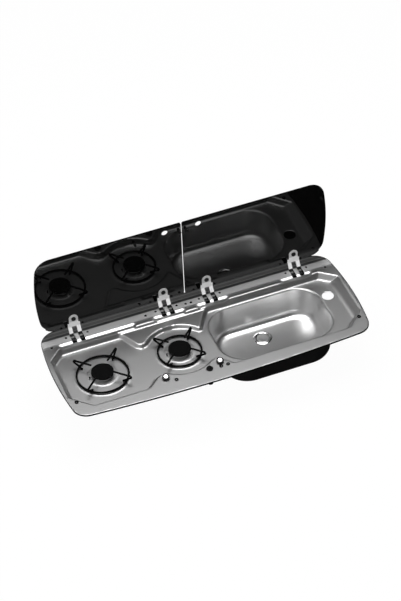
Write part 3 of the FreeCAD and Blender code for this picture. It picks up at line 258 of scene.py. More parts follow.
paints = {name: grainedFinish(name, look) for name, look in finishes.items()}
paints["blackGlass"] = blackGlassFinish()
slotPaints = {
    "pressed_steel": "pressedSteel", "bright_steel": "brightSteel", "black_rubber": "blackRubber",
    "black_plastic": "blackPlastic", "cast_aluminium": "castAluminium", "brass": "brass",
    "black_enamel": "blackEnamel", "white_ceramic": "whiteCeramic", "black_glass": "blackGlass",
}
ownPaints = {"bowl_jacket": "jacket", "hob_lid_screws": "darkSteel", "sink_lid_screws": "darkSteel"}
ownPaints.update({"hinge_arm_" + tag: "satinZincPaintedShade" for tag in "abcd"})
for subpart in frame["record"]["subparts"]:
    shown = nodes[subpart["node"]]
    finish = ownPaints.get(subpart["node"], slotPaints[subpart["material_slot"]])
    shown.data.materials.clear()
    shown.data.materials.append(paints[finish])
print("finishes made:", len(paints))


# Mesh helpers. Points are arrays of millimetres, faces are arrays of four corners.
meshing = {"weld": 1e-6, "sliver": 1e-7, "sharpTurn": 38.0}  # metres, metres, degrees


def addPiece(name, points, faces, body, replaced, finish, closed=True):
    mesh = bpy.data.meshes.new(name)
    mesh.from_pydata((np.asarray(points) * milli).tolist(), [], np.asarray(faces).tolist())
    work = bmesh.new()
    work.from_mesh(mesh)
    bmesh.ops.remove_doubles(work, verts=work.verts, dist=meshing["weld"])  # closes seams and poles
    bmesh.ops.dissolve_degenerate(work, edges=work.edges, dist=meshing["sliver"])
    if closed:
        bmesh.ops.recalc_face_normals(work, faces=work.faces)
    work.to_mesh(mesh)
    work.free()
    mesh.polygons.foreach_set("use_smooth", np.ones(len(mesh.polygons), bool))
    mesh.set_sharp_from_angle(angle=math.radians(meshing["sharpTurn"]))
    mesh.materials.append(paints[finish])
    piece = bpy.data.objects.new(name, mesh)
    scene.collection.objects.link(piece)
    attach(piece, body)
    for node in replaced:
        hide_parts(node)
    return piece


def gridFaces(rows, columns, around=False):
    # quads between neighbouring rows and columns, where a grid that goes around joins its last column
    # to its first
    wide = columns if around else columns - 1
    row, column = np.meshgrid(np.arange(rows - 1), np.arange(wide), indexing="ij")
    beside = (column + 1) % columns
    corners = [row * columns + column, row * columns + beside,
               (row + 1) * columns + beside, (row + 1) * columns + column]
    return np.stack(corners, -1).reshape(-1, 4)


def joined(parts):
    # several (points, faces) pairs as one pair, with the face numbers moved on
    points, faces, count = [], [], 0
    for some, corners in parts:
        points.append(some)
        faces.append(corners + count)
        count += len(some)
    return np.concatenate(points), np.concatenate(faces)


def softCorners(corners, loop=True, steps=7):
    # a run of straight lines whose corners become arcs: each arc's centre lies on the corner's bisector,
    # one radius over the cosine of half the turn away, and its points are
    # centre - r cos a * inward + r sin a * across
    spots = np.array([corner[:2] for corner in corners], float)
    radii = np.array([corner[2] if len(corner) > 2 else 0.0 for corner in corners])
    back = np.roll(spots, 1, 0) - spots
    on = np.roll(spots, -1, 0) - spots
    back /= np.linalg.norm(back, axis=1)[:, None] + 1e-12
    on /= np.linalg.norm(on, axis=1)[:, None] + 1e-12
    half = (np.pi - np.arccos(np.clip((back * on).sum(1), -1, 1))) / 2
    if not loop:
        radii[[0, -1]] = 0
    inward = back + on
    inward /= np.linalg.norm(inward, axis=1)[:, None] + 1e-12
    across = on - back
    across /= np.linalg.norm(across, axis=1)[:, None] + 1e-12
    centre = spots + inward * (radii / np.cos(half))[:, None]
    angle = half[:, None] * np.linspace(-1, 1, steps)
    arc = np.sin(angle)[..., None] * across[:, None, :] - np.cos(angle)[..., None] * inward[:, None, :]
    flat = (centre[:, None, :] + radii[:, None, None] * arc).reshape(-1, 2)
    fresh = np.ones(len(flat), bool)
    fresh[1:] = np.linalg.norm(np.diff(flat, axis=0), axis=1) > 1e-6
    return flat[fresh]


def turned(profile, centre, steps=72):
    # a profile of (radius, height) spun about an upright axis: x = r cos a, y = r sin a
    profile = np.asarray(profile, float)
    angle = np.linspace(0, 2 * np.pi, steps, endpoint=False)
    x = centre[0] + profile[:, :1] * np.cos(angle)
    y = centre[1] + profile[:, :1] * np.sin(angle)
    z = np.broadcast_to(profile[:, 1:], x.shape) + (centre[2] if len(centre) > 2 else 0.0)
    return np.stack([x, y, z], -1).reshape(-1, 3), gridFaces(len(profile), steps, True)


def tube(path, side, radius, sides=14, loop=False):
    # a round wire: at each path point a ring radius * (cos a * side + sin a * side x direction),
    # with half-ball ends where the path is open
    path = np.asarray(path, float)
    if loop:
        along = np.roll(path, -1, 0) - np.roll(path, 1, 0)
    else:
        along = np.gradient(path, axis=0)
    along /= np.linalg.norm(along, axis=1)[:, None]
    side = np.broadcast_to(np.asarray(side, float), path.shape)
    size = np.full(len(path), radius)
    if not loop:
        steps = 5
        lean = np.linspace(np.pi / 2, 0, steps + 1)[:-1]
        first = path[0] - along[0] * radius * np.sin(lean)[:, None]
        last = path[-1] + along[-1] * radius * np.sin(lean[::-1])[:, None]
        path = np.concatenate([first, path, last])
        along = np.concatenate([np.repeat(along[:1], steps, 0), along, np.repeat(along[-1:], steps, 0)])
        side = np.concatenate([np.repeat(side[:1], steps, 0), side, np.repeat(side[-1:], steps, 0)])
        size = np.concatenate([radius * np.cos(lean), size, radius * np.cos(lean[::-1])])
    lift = np.cross(along, side)
    angle = np.linspace(0, 2 * np.pi, sides, endpoint=False)[None, :, None]
    ring = np.cos(angle) * side[:, None, :] + np.sin(angle) * lift[:, None, :]
    points = path[:, None, :] + size[:, None, None] * ring
    rows = len(path)
    faces = gridFaces(rows, sides, True)
    if loop:
        column = np.arange(sides)
        beside = (column + 1) % sides
        end = (rows - 1) * sides
        faces = np.concatenate([faces, np.stack([end + column, end + beside, beside, column], -1)])
    return points.reshape(-1, 3), faces


# Distances on the plate, all positive inside the shape they are named for
def boxDistance(x, y, left, right, front, back, radius):
    # how far inside a rectangle with rounded corners a point lies
    awayX = np.abs(x - (left + right) / 2) - (right - left) / 2 + radius
    awayY = np.abs(y - (front + back) / 2) - (back - front) / 2 + radius
    outside = np.hypot(np.maximum(awayX, 0), np.maximum(awayY, 0))
    return radius - outside - np.minimum(np.maximum(awayX, awayY), 0)


def outlineDistance(x, y, corners):
    # least distance to the sides of a closed outline, signed by counting the sides that a ray
    # to the right meets
    nearest = np.full(np.shape(x), 1e9)
    within = np.zeros(np.shape(x), bool)
    for a, b in zip(corners, np.roll(corners, -1, 0)):
        side = b - a
        part = np.clip(((x - a[0]) * side[0] + (y - a[1]) * side[1]) / (side @ side), 0, 1)
        nearest = np.minimum(nearest, np.hypot(x - a[0] - part * side[0], y - a[1] - part * side[1]))
        rise = side[1] if abs(side[1]) > 1e-9 else 1e-9
        within ^= ((a[1] > y) != (b[1] > y)) & (x < a[0] + (y - a[1]) * side[0] / rise)
    return np.where(within, nearest, -nearest)


def ramp(distance, width, soft):
    # 0 before an edge and 1 past a slope of that width, with both bends eased: t t (3 - 2 t)
    t = np.clip((distance + soft) / (width + 2 * soft), 0, 1)
    return t * t * (3 - 2 * t)


def softLeast(first, second, blend):
    # the lesser of two, rounded off where they are within the blend of each other:
    # h h / 4 blend is taken away
    near = np.maximum(blend - np.abs(first - second), 0)
    return np.minimum(first, second) - near * near / (4 * blend)


def roundedMeeting(first, second, radius, lean):
    # two sides meeting in a corner of that radius: the radius less the distance to the corner's centre,
    # with lean the cosine between the sides' inward directions
    u = radius - first
    v = radius - second
    away = np.sqrt(np.maximum(u * u + v * v - 2 * lean * u * v, 0) / (1 - lean * lean))
    turning = (u > lean * v) & (v > lean * u)
    return np.where(turning, radius - away, np.minimum(first, second))


nudge = 0.02  # how far to each side a distance is measured for its slope


def slopeOf(distance, x, y):
    # (d(x + n) - d(x - n)) / 2 n, and the same along y
    slopeX = (distance(x + nudge, y) - distance(x - nudge, y)) / (2 * nudge)
    slopeY = (distance(x, y + nudge) - distance(x, y - nudge)) / (2 * nudge)
    return slopeX, slopeY


# Pressed deck
deck = {
    "halfLength": 450.0, "halfDepth": 185.0, "rimTop": 4.0, "sheet": 1.0,
    "frontBow": 17.8, "sideBow": 16.4, "frontCorner": 45.0, "backCorner": 57.0,
    "recess": (-436.0, 437.5, -139.0, 109.0),  # left, right, front, back
    "recessDepth": 18.0, "recessDraft": 10.0, "recessRound": 12.0, "frontCut": 56.0, "backCut": 38.0,
    "leaning": ((1.0, 0.0, 437.5, 23.5), (0.64, 0.77, 335.0, 13.0)),  # way x, way y, crest, draft
    "ledgeDepth": 8.0, "ledgeDraft": 5.0, "platformDraft": 7.0,
    "pocketBack": 125.5, "pocketSlope": 8.2, "pocketDepth": 3.7, "pocketSoft": 0.8,
    "pocketEnd": 12.0, "pocketEndSoft": 1.0, "pocketMouth": 12.0, "pocketMouthSlope": 4.0,
    "pockets": ((-400.0, -164.5), (-118.0, -14.0), (14.0, 118.0), (271.0, 375.0)),  # left, right
    "islandMargin": 8.0, "islandRise": 0.8, "islandSlope": 3.0, "islandSoft": 0.8,
    "bossRadius": 43.0, "bossRise": 0.8, "bossSlope": 1.8, "bossSoft": 0.6,
    "mouthRoll": 1.7, "mouthWidth": 5.0,
    "crease": (-443.0, 443.0, -600.0, 152.0, 52.0),  # left, right, front, back, corner
    "flangeDrop": 0.9, "flangeWidth": 34.0,
    "soft": 2.2, "crest": 2.0, "hollow": 5.0, "waveEnd": 1.0, "waveSteps": 16,
    # the grid's step, the shares of it within which points slide to an edge, and how they slide
    "step": 2.55, "keep": 0.3, "slide": 1.6, "slides": 4, "leastSteep": 0.25,
}
# the seal's lip covers the plate's edge
seal = {"width": 8.6, "height": 3.0, "lip": 0.9, "lipTop": 3.95, "free": 1.4, "inset": 0.1, "slides": 6}
burners = {"left": (-316.0, -22.5, 72.6), "right": (-87.5, -22.5, 61.6)}  # x, y, ring of the pan support
knobs = {"left": (-165.0, -122.0), "right": (-5.0, -122.0)}
hinges = {"a": -335.0, "b": -66.0, "c": 66.0, "d": 335.0}
igniter = (-41.0, -135.0)
tapHole = (384.0, 24.0, 17.5)
bowlMouth = (20.5, 360.0, -122.0, 93.0, 75.0)  # left, right, front, back, corner
hingeSlot = {"width": 13.0, "front": 118.5, "back": 152.0, "apart": 12.5, "corner": 1.5}
holes = {"igniter": 8.2, "crown": 26.4, "probe": 2.2, "probeAway": 38.0, "knob": 6.0}
floorLevel = deck["rimTop"] - deck["recessDepth"]


def plateDistance(x, y):
    # the plate's outline: circles through each bowed side, a straight back, and rounded corners
    length, depth = deck["halfLength"], deck["halfDepth"]
    chordY = depth - deck["frontBow"] / 2  # half of the sides' straight chord
    middleY = deck["frontBow"] / 2
    sideRadius = (chordY ** 2 + deck["sideBow"] ** 2) / (2 * deck["sideBow"])
    chordX = length - deck["sideBow"]
    frontRadius = (chordX ** 2 + deck["frontBow"] ** 2) / (2 * deck["frontBow"])
    side = sideRadius - np.hypot(np.abs(x) + sideRadius - length, y - middleY)
    side = np.where(np.abs(x) < length / 2, length, side)
    front = frontRadius - np.hypot(x, y - frontRadius + depth)
    back = depth - y
    sideTurn = 2 * math.atan2(deck["sideBow"], chordY)
    frontTurn = 2 * math.atan2(deck["frontBow"], chordX)
    atFront = roundedMeeting(side, front, deck["frontCorner"], math.sin(sideTurn + frontTurn))
    atBack = roundedMeeting(side, back, deck["backCorner"], math.sin(sideTurn))
    return np.minimum(atFront, atBack)


def sheetDistance(x, y):
    # how far inside the plate and outside each of its holes a point lies
    clear = np.minimum(plateDistance(x, y) - seal["lip"], -boxDistance(x, y, *bowlMouth))
    rounds = [tapHole, (*igniter, holes["igniter"])]
    for bx, by, ring in burners.values():
        rounds += [(bx, by, holes["crown"]), (bx - holes["probeAway"], by, holes["probe"])]
    rounds += [(*spot, holes["knob"]) for spot in knobs.values()]
    for hx, hy, radius in rounds:
        clear = np.minimum(clear, np.hypot(x - hx, y - hy) - radius)
    for hx in hinges.values():
        for hand in (-1, 1):
            middle = hx + hand * hingeSlot["apart"]
            slot = (middle - hingeSlot["width"] / 2, middle + hingeSlot["width"] / 2,
                    hingeSlot["front"], hingeSlot["back"], hingeSlot["corner"])
            clear = np.minimum(clear, -boxDistance(x, y, *slot))
    return clear


def recessOutline():
    # a rectangle with its four corners cut off and every bend rounded
    left, right, front, back = deck["recess"]
    cut, cutBack, soft = deck["frontCut"], deck["backCut"], deck["recessRound"]
    return softCorners([
        (left + cut, front, soft), (right - cut, front, soft),
        (right, front + cut, soft), (right, back - cutBack, soft),
        (right - cutBack, back, soft), (left + cutBack, back, soft),
        (left, back - cutBack, soft), (left, front + cut, soft)])


# Waves along the recess's back and front walls. Each tip has a reach, a rounding and a flank.
waves = {
    "ledge": {"wall": deck["recess"][3], "toWall": 1, "behind": 19.0, "bend": 97.0, "half": 50.0,
              "soft": 40.0, "tips": ((28.7, 22.0, 45.1), (14.9, 9.0, 49.3))},
    "platform": {"wall": deck["recess"][2], "toWall": -1, "behind": 23.0, "bend": 96.0, "half": 35.0,
                 "soft": 22.0, "tips": ((32.0, 40.0, 62.0), (30.0, 25.0, 50.0))},
}


def waveOutline(wave):
    # foot of a wave: an arc about the right burner, a rounded tip at each of its ends,
    # and flanks to the wall
    wall, way = wave["wall"], wave["toWall"]
    behind = wall + way * wave["behind"]
    middleX, middleY = burners["right"][:2]
    half = math.radians(wave["half"])
    apex = middleY + way * wave["bend"] / math.cos(half)
    tips, feet = [], []
    for hand, (reach, soft, flank) in zip((-1, 1), wave["tips"]):
        run = wave["bend"] * math.tan(half) + reach
        tips.append((middleX + hand * run * math.cos(half), apex - way * run * math.sin(half), soft))
        feet.append(tips[-1][0] + hand * flank)
    soft, end = wave["soft"], deck["waveEnd"]
    return softCorners([
        (feet[0] - soft, wall, end), (feet[0], wall, soft), tips[0], (middleX, apex, wave["bend"]), tips[1],
        (feet[1], wall, soft), (feet[1] + soft, wall, end), (feet[1] + soft, behind, end),
        (feet[0] - soft, behind, end)], steps=deck["waveSteps"])


def plateHeight(x, y):
    # the rim's level less the recess's depth, which is the least of its wall's and its floor's,
    # and less or more each pressing's depth times its ramp from 0 at its edge to 1 past its slope
    soft = deck["soft"]
    back = deck["recess"][3]
    steep = deck["recessDepth"] / deck["recessDraft"]
    wall = steep * outlineDistance(x, y, recessOutline())
    for wayX, wayY, crest, draft in deck["leaning"]:  # the right end's walls lean out further
        wall = np.minimum(wall, (crest - wayX * x - wayY * y) * deck["recessDepth"] / draft)
    wall = -softLeast(-wall, 0.0, deck["crest"])
    platform = ramp(outlineDistance(x, y, waveOutline(waves["platform"])), deck["platformDraft"], soft)
    level = deck["recessDepth"] * (1 - platform)
    ledge = ramp(outlineDistance(x, y, waveOutline(waves["ledge"])), deck["ledgeDraft"], soft)
    level = level + np.minimum(deck["ledgeDepth"] - level, 0) * ledge
    depth = softLeast(wall, level, deck["hollow"])
    depth = np.where(wall > 0, np.maximum(depth, 0), 0)
    endSoft = deck["pocketEndSoft"]
    slope = ramp(deck["pocketBack"] - y, deck["pocketSlope"], deck["pocketSoft"])
    opening = ramp(y - back + deck["pocketMouth"], deck["pocketMouthSlope"], endSoft)
    for start, stop in deck["pockets"]:
        ends = ramp(np.minimum(x - start, stop - x), deck["pocketEnd"], endSoft)
        depth = np.maximum(depth, ends * slope * deck["pocketDepth"] * opening)
    for bx, by, ring in burners.values():
        away = np.hypot(x - bx, y - by)
        island = ramp(ring + deck["islandMargin"] - away, deck["islandSlope"], deck["islandSoft"])
        boss = ramp(deck["bossRadius"] - away, deck["bossSlope"], deck["bossSoft"])
        depth = depth - deck["islandRise"] * island - deck["bossRise"] * boss
    beyond = -boxDistance(x, y, *deck["crease"])
    flange = deck["flangeDrop"] * np.clip(beyond / deck["flangeWidth"], 0, 1)
    edge = np.clip(1 + boxDistance(x, y, *bowlMouth) / deck["mouthWidth"], 0, 1)
    return deck["rimTop"] - depth - flange - deck["mouthRoll"] * edge * edge


def pressedSheet(step):
    # a square grid over the plate, where points near an edge slide onto it along the distance's slope
    xs = np.arange(-deck["halfLength"] - step, deck["halfLength"] + 2 * step, step)
    ys = np.arange(-deck["halfDepth"] - step, deck["halfDepth"] + 2 * step, step)
    x, y = (part.ravel() for part in np.meshgrid(xs, ys, indexing="ij"))
    clear = sheetDistance(x, y)
    inner = clear >= deck["keep"] * step
    moving = np.flatnonzero(~inner & (clear > -deck["slide"] * step))
    for again in range(deck["slides"]):
        px, py = x[moving], y[moving]
        off = sheetDistance(px, py)
        slopeX, slopeY = slopeOf(sheetDistance, px, py)
        steep = np.maximum(slopeX ** 2 + slopeY ** 2, deck["leastSteep"])
        x[moving] = px - off * slopeX / steep
        y[moving] = py - off * slopeY / steep
    faces = gridFaces(len(xs), len(ys))
    known = inner.copy()
    known[moving] = True
    faces = faces[known[faces].all(1) & inner[faces].any(1)]
    used, place = np.unique(faces, return_inverse=True)
    points = np.stack([x, y, plateHeight(x, y)], -1)[used]
    return points, place.reshape(-1, 4)[:, ::-1]


def thicken(piece, sheet):
    # the sheet's thickness goes below the drawn face
    wall = piece.modifiers.new("sheet", "SOLIDIFY")
    wall.thickness = sheet * milli
    wall.offset = -1.0


points, faces = pressedSheet(deck["step"])
pressedDeck = addPiece("pressedDeck", points, faces, "deck", ["top_plate"], "deckSteelPaintedShade",
                       closed=False)
thicken(pressedDeck, deck["sheet"])
print("deck pressed:", len(faces), "faces")


# Sink bowl
bowl = {
    "depth": 90.0, "taperX": 13.0, "taperY": 12.0, "floorRound": 26.0, "sheet": 0.8,
    "cornerShare": 0.8, "leastCorner": 20.0, "lap": 0.2, "drain": (181.0, 25.0, 21.2),
    "wallRings": 16, "bendRings": 14, "floorRings": 22,
}
ringSteps = {"corner": 17, "side": 13}


def roundedRing(middleX, middleY, halfX, halfY, radius):
    # a rectangle with round corners as a ring of points: quarter arcs and straight sides,
    # always of the same count
    quarter = np.linspace(0, np.pi / 2, ringSteps["corner"])
    along = np.linspace(0, 1, ringSteps["side"])[1:-1]
    rings = []
    for turn in range(4):
        angle = quarter + turn * np.pi / 2
        cornerX = (halfX - radius) * (1 if turn in (0, 3) else -1)
        cornerY = (halfY - radius) * (1 if turn in (0, 1) else -1)
        rings.append(np.stack([cornerX + radius * np.cos(angle), cornerY + radius * np.sin(angle)], -1))
    ends = [np.concatenate([ring, ring[-1] + along[:, None] * (after[0] - ring[-1])])
            for ring, after in zip(rings, rings[1:] + rings[:1])]
    return np.concatenate(ends) + (middleX, middleY)


def bowlSurface(top):
    # rings of the mouth's shape, each drawn in and let down along the wall's profile, whose bend to the floor
    # is (1 - u)(1 - u) a + 2 u (1 - u) b + u u c, then a floor whose rings pass to the drain's circle
    left, right, front, back, corner = bowlMouth
    middleX, middleY = (left + right) / 2, (front + back) / 2
    bottom = bowl["depth"]
    lean = 0.5 * (bowl["taperX"] + bowl["taperY"]) / bottom
    reach = bowl["floorRound"] * math.tan((math.pi / 2 - math.atan(lean)) / 2)
    wall = np.linspace(0, 1 - reach / bottom, bowl["wallRings"])
    u = np.linspace(0, 1, bowl["bendRings"])[1:]
    drop = np.concatenate([wall, (1 - u) ** 2 * wall[-1] + 2 * u * (1 - u) + u ** 2])
    more = np.concatenate([0 * wall, u ** 2 * reach])
    rings = []
    for part, extra in zip(drop, more):
        halfX = (right - left) / 2 - bowl["taperX"] * part - extra
        halfY = (back - front) / 2 - bowl["taperY"] * part - extra
        radius = max(corner - bowl["taperY"] * part - bowl["cornerShare"] * extra, bowl["leastCorner"])
        ring = roundedRing(middleX, middleY, halfX, halfY, radius)
        rings.append(np.column_stack([ring, np.full(len(ring), floorLevel - bottom * part)]))
    rings[0][:, 2] = top
    last = rings[-1]
    drainX, drainY, drainRadius = bowl["drain"]
    angle = np.arctan2(last[:, 1] - drainY, last[:, 0] - drainX)
    circle = np.column_stack([drainX + drainRadius * np.cos(angle), drainY + drainRadius * np.sin(angle),
                              last[:, 2]])
    for part in np.linspace(0, 1, bowl["floorRings"])[1:]:
        rings.append(last + (circle - last) * part)
    return np.concatenate(rings), gridFaces(len(rings), len(last), True)


points, faces = bowlSurface(floorLevel - deck["mouthRoll"] - bowl["lap"])
sinkBowl = addPiece("sinkBowl", points, faces, "deck", ["sink_bowl"], "pressedSteel",
                    closed=False)
thicken(sinkBowl, bowl["sheet"])
print("bowl made:", len(faces), "faces")


# Black rubber seal under the rim
def plateRing(inset):
    # points around the plate, slid along the slope of the distance until they lie that far inside its edge
    x, y = roundedRing(0.0, 0.0, deck["halfLength"], deck["halfDepth"], deck["backCorner"]).T
    for again in range(seal["slides"]):
        off = plateDistance(x, y) - inset
        slopeX, slopeY = slopeOf(plateDistance, x, y)
        x, y = x - off * slopeX, y - off * slopeY
    return np.stack([x, y], -1)


section = [(seal["inset"], -seal["free"]), (seal["inset"], seal["lipTop"]), (seal["lip"], seal["lipTop"]),
           (seal["lip"], seal["height"]), (seal["width"], seal["height"]), (seal["width"], 0.0),
           (seal["inset"], -seal["free"])]
rings = [plateRing(inset) for inset, level in section]
points = np.concatenate([np.column_stack([ring, np.full(len(ring), level)])
                         for ring, (inset, level) in zip(rings, section)])
addPiece("rimSeal", points, gridFaces(len(section), len(rings[0]), True), "deck", ["rim_seal"],
         "blackRubber")


# Waste flange and plug
waste = {"flange": 27.0, "mouth": 18.9, "crown": 22.5, "hump": 2.4, "rise": 1.2, "deep": 5.0, "edge": 0.4,
         "lift": 0.05, "sleeve": 21.0, "length": 14.0, "throat": 15.0, "mouthBend": 0.6, "humpBend": 2.0,
         "edgeBend": 0.3, "underBend": 0.1, "endBend": 0.2}
bowlFloor = floorLevel - bowl["depth"]
drainSpot = (*bowl["drain"][:2], bowlFloor)
profile = softCorners([
    (waste["throat"], -waste["length"], 0),
    (waste["throat"], waste["rise"] - waste["deep"], waste["mouthBend"]),
    (waste["mouth"], waste["rise"] - waste["deep"], waste["mouthBend"]),
    (waste["mouth"], waste["rise"], waste["mouthBend"]), (waste["crown"], waste["hump"], waste["humpBend"]),
    (waste["flange"], waste["edge"], waste["edgeBend"]), (waste["flange"], waste["lift"], waste["underBend"]),
    (waste["sleeve"], waste["lift"], waste["underBend"]),
    (waste["sleeve"], -waste["length"], waste["endBend"])])
points, faces = turned(profile, drainSpot)
addPiece("wasteFlange", points, faces, "deck", ["waste_flange"], "brightSteel")

plug = {"radius": 18.4, "top": 0.75, "under": -3.75, "dish": 0.3, "dishRadius": 7.0, "dishEdge": 12.0,
        "stem": 4.0, "stemEnd": -13.75, "dishBend": 3.0, "crownBend": 4.0, "rimBend": 1.6, "underBend": 0.8,
        "rootBend": 0.5, "endBend": 0.8}
dished = plug["top"] - plug["dish"]
profile = softCorners([
    (0.0, dished, 0), (plug["dishRadius"], dished, plug["dishBend"]),
    (plug["dishEdge"], plug["top"], plug["crownBend"]), (plug["radius"], plug["top"], plug["rimBend"]),
    (plug["radius"], plug["under"], plug["underBend"]), (plug["stem"], plug["under"], plug["rootBend"]),
    (plug["stem"], plug["stemEnd"], plug["endBend"]), (0.0, plug["stemEnd"], 0)], loop=False)
points, faces = turned(profile, drainSpot)
addPiece("drainPlug", points, faces, "sink_plug", ["drain_plug"], "pressedSteel")


# Wire pan supports: a ring and four bent fingers each
support = {"wire": 2.8, "ringDepth": 12.0, "fingerRise": 9.5, "inner": 35.6, "setback": 9.0, "bend": 4.0,
           "footGap": 0.1, "steps": 144, "bendSteps": 12, "fingers": 4, "firstFinger": 45.0,
           "reach": {"left": 24.1, "right": 26.6}}


def panSupport(side):
    # the ring is x = r cos a, y = r sin a, and each finger is drawn in its own upright plane
    # as (distance from the axis, height)
    x, y, ring = burners[side]
    ringLevel = deck["rimTop"] - support["ringDepth"]
    angle = np.linspace(0, 2 * np.pi, support["steps"], endpoint=False)
    circle = np.stack([x + ring * np.cos(angle), y + ring * np.sin(angle), ringLevel + 0 * angle], -1)
    parts = [tube(circle, (0, 0, 1), support["wire"], loop=True)]
    fingerLevel, reach = deck["rimTop"] + support["fingerRise"], support["reach"][side]
    footLevel = floorLevel + deck["islandRise"] + support["wire"] + support["footGap"]
    line = softCorners([(support["inner"], fingerLevel, 0), (ring + reach, fingerLevel, support["bend"]),
                        (ring - support["setback"], footLevel, 0)], loop=False, steps=support["bendSteps"])
    for finger in range(support["fingers"]):
        way = math.radians(support["firstFinger"] + finger * 360 / support["fingers"])
        path = np.stack([x + line[:, 0] * math.cos(way), y + line[:, 0] * math.sin(way), line[:, 1]], -1)
        parts.append(tube(path, (-math.sin(way), math.cos(way), 0), support["wire"]))
    points, faces = joined(parts)
    addPiece("panSupport" + side.title(), points, faces, side + "_support", ["pan_support_" + side],
             "blackEnamel")


# Burner caps: flat discs with a soft rim and a faint ring pressed into the top
cap = {"radius": 32.0, "top": 3.5, "thick": 5.0, "edge": 1.8, "spigot": 13.6, "spigotEnd": -4.5,
       "middle": 3.3, "groove": 22.0, "grooveLow": 2.9, "grooveHalf": 2.0, "grooveBend": 0.8,
       "underBend": 0.8, "spigotBend": 0.4, "steps": 96}


def burnerCap(side):
    under = cap["top"] - cap["thick"]
    profile = softCorners([
        (0.0, cap["middle"], 0), (cap["groove"] - cap["grooveHalf"], cap["middle"], cap["grooveBend"]),
        (cap["groove"], cap["grooveLow"], cap["grooveBend"]),
        (cap["groove"] + cap["grooveHalf"], cap["top"], cap["grooveBend"]),
        (cap["radius"], cap["top"], cap["edge"]), (cap["radius"], under, cap["underBend"]),
        (cap["spigot"], under, cap["spigotBend"]), (cap["spigot"], cap["spigotEnd"], cap["spigotBend"]),
        (0.0, cap["spigotEnd"], 0)], loop=False)
    points, faces = turned(profile, burners[side][:2], cap["steps"])
    addPiece("burnerCap" + side.title(), points, faces, side + "_cap", ["burner_cap_" + side],
             "blackEnamel")


# Knobs: a black body with a bright disc let into its top
knob = {"under": 7.3, "height": 8.3, "radius": 10.5, "grip": 9.4, "disc": 6.0, "bore": 3.05, "socket": 3.0,
        "collar": 2.4, "slant": 0.26, "inlay": 0.6, "discGap": 0.2, "discUnder": 0.5, "discRim": 0.1,
        "boreBend": 0.1, "footBend": 0.6, "collarBend": 0.8, "topBend": 0.9, "mouthBend": 0.2,
        "inlayBend": 0.1, "discBend": 0.3}


def slanted(points, side):
    # the top leans to the front: above the collar, z falls by the slant times the way to the back of the grip
    collar = knob["under"] + knob["collar"]
    part = np.clip((points[:, 2] - collar) / (knob["height"] - knob["collar"]), 0, 1)
    away = knob["grip"] - (points[:, 1] - knobs[side][1])
    return points - np.stack([0 * part, 0 * part, knob["slant"] * away * part], -1)


def gasKnob(side):
    low, high = knob["under"], knob["under"] + knob["height"]
    profile = softCorners([
        (0.0, low + knob["socket"], 0), (knob["bore"], low + knob["socket"], 0),
        (knob["bore"], low, knob["boreBend"]), (knob["radius"], low, knob["footBend"]),
        (knob["radius"], low + knob["collar"], knob["collarBend"]), (knob["grip"], high, knob["topBend"]),
        (knob["disc"], high, knob["mouthBend"]), (knob["disc"], high - knob["inlay"], knob["inlayBend"]),
        (0.0, high - knob["inlay"], 0)], loop=False)
    points, faces = turned(profile, knobs[side])
    addPiece("gasKnob" + side.title(), slanted(points, side), faces, side + "_knob", ["knob_" + side],
             "blackPlastic")
    disc = knob["disc"] - knob["discGap"]
    profile = softCorners([
        (0.0, high - knob["discUnder"], 0), (disc, high - knob["discUnder"], knob["inlayBend"]),
        (disc, high - knob["discRim"], knob["discBend"]), (0.0, high, 0)], loop=False)
    points, faces = turned(profile, knobs[side])
    addPiece("knobDisc" + side.title(), slanted(points, side), faces, side + "_knob", ["knob_" + side],
             "brightSteel")


for side in burners:
    panSupport(side)
    burnerCap(side)
    gasKnob(side)

# Igniter button, a cone with a domed tip
button = {"radius": 6.0, "top": 15.7, "low": -7.5, "crown": 1.4, "shoulder": 7.0, "tip": 3.4,
          "shoulderBend": 0.8, "footBend": 0.4, "domeSteps": 9}
rise = np.linspace(0, 1, button["domeSteps"])
dome = np.stack([button["tip"] * rise, button["top"] - button["crown"] * rise ** 2], -1)
profile = np.concatenate([dome, softCorners([
    (button["tip"], button["top"] - button["crown"], 0),
    (button["radius"], button["shoulder"], button["shoulderBend"]),
    (button["radius"], button["low"], button["footBend"]), (0.0, button["low"], 0)], loop=False)])
points, faces = turned(profile, igniter)
addPiece("igniterButton", points, faces, "igniter_button", ["piezo_button"], "blackPlastic")

# Rubber rings on the rim, where the lids' feet land
bumper = {"radius": 5.4, "height": 3.0, "bore": 2.2, "footBend": 0.2, "boreBend": 1.0, "topBend": 1.4,
          "steps": 32,
          "spots": [(-421.0, -110.0), (421.0, -110.0), (-139.8, -138.0), (-7.7, -138.0), (12.1, -138.0)]}
profile = softCorners([
    (bumper["bore"], 0.0, bumper["footBend"]), (bumper["bore"], bumper["height"], bumper["boreBend"]),
    (bumper["radius"], bumper["height"], bumper["topBend"]), (bumper["radius"], 0.0, bumper["footBend"])])
profile = np.concatenate([profile, profile[:1]])
parts = [turned(profile, (*spot, deck["rimTop"]), bumper["steps"]) for spot in bumper["spots"]]
points, faces = joined(parts)
addPiece("lidBumpers", points, faces, "deck", ["lid_bumpers"], "blackRubber")

# The lids' hinge edge comes down a little further than the plain glass.
# It is drawn with the lid shut and then turned up about the pin.
lidEdge = {"under": 16.5, "over": 21.5, "back": 101.5, "inner": -2.2, "outer": -390.0, "round": 46.0,
           "turn": 36.0, "wide": 4.6, "least": 0.05, "lap": 0.6, "pivot": (138.0, -9.0), "open": 88.0,
           "straightSteps": 11, "turnSteps": 15}


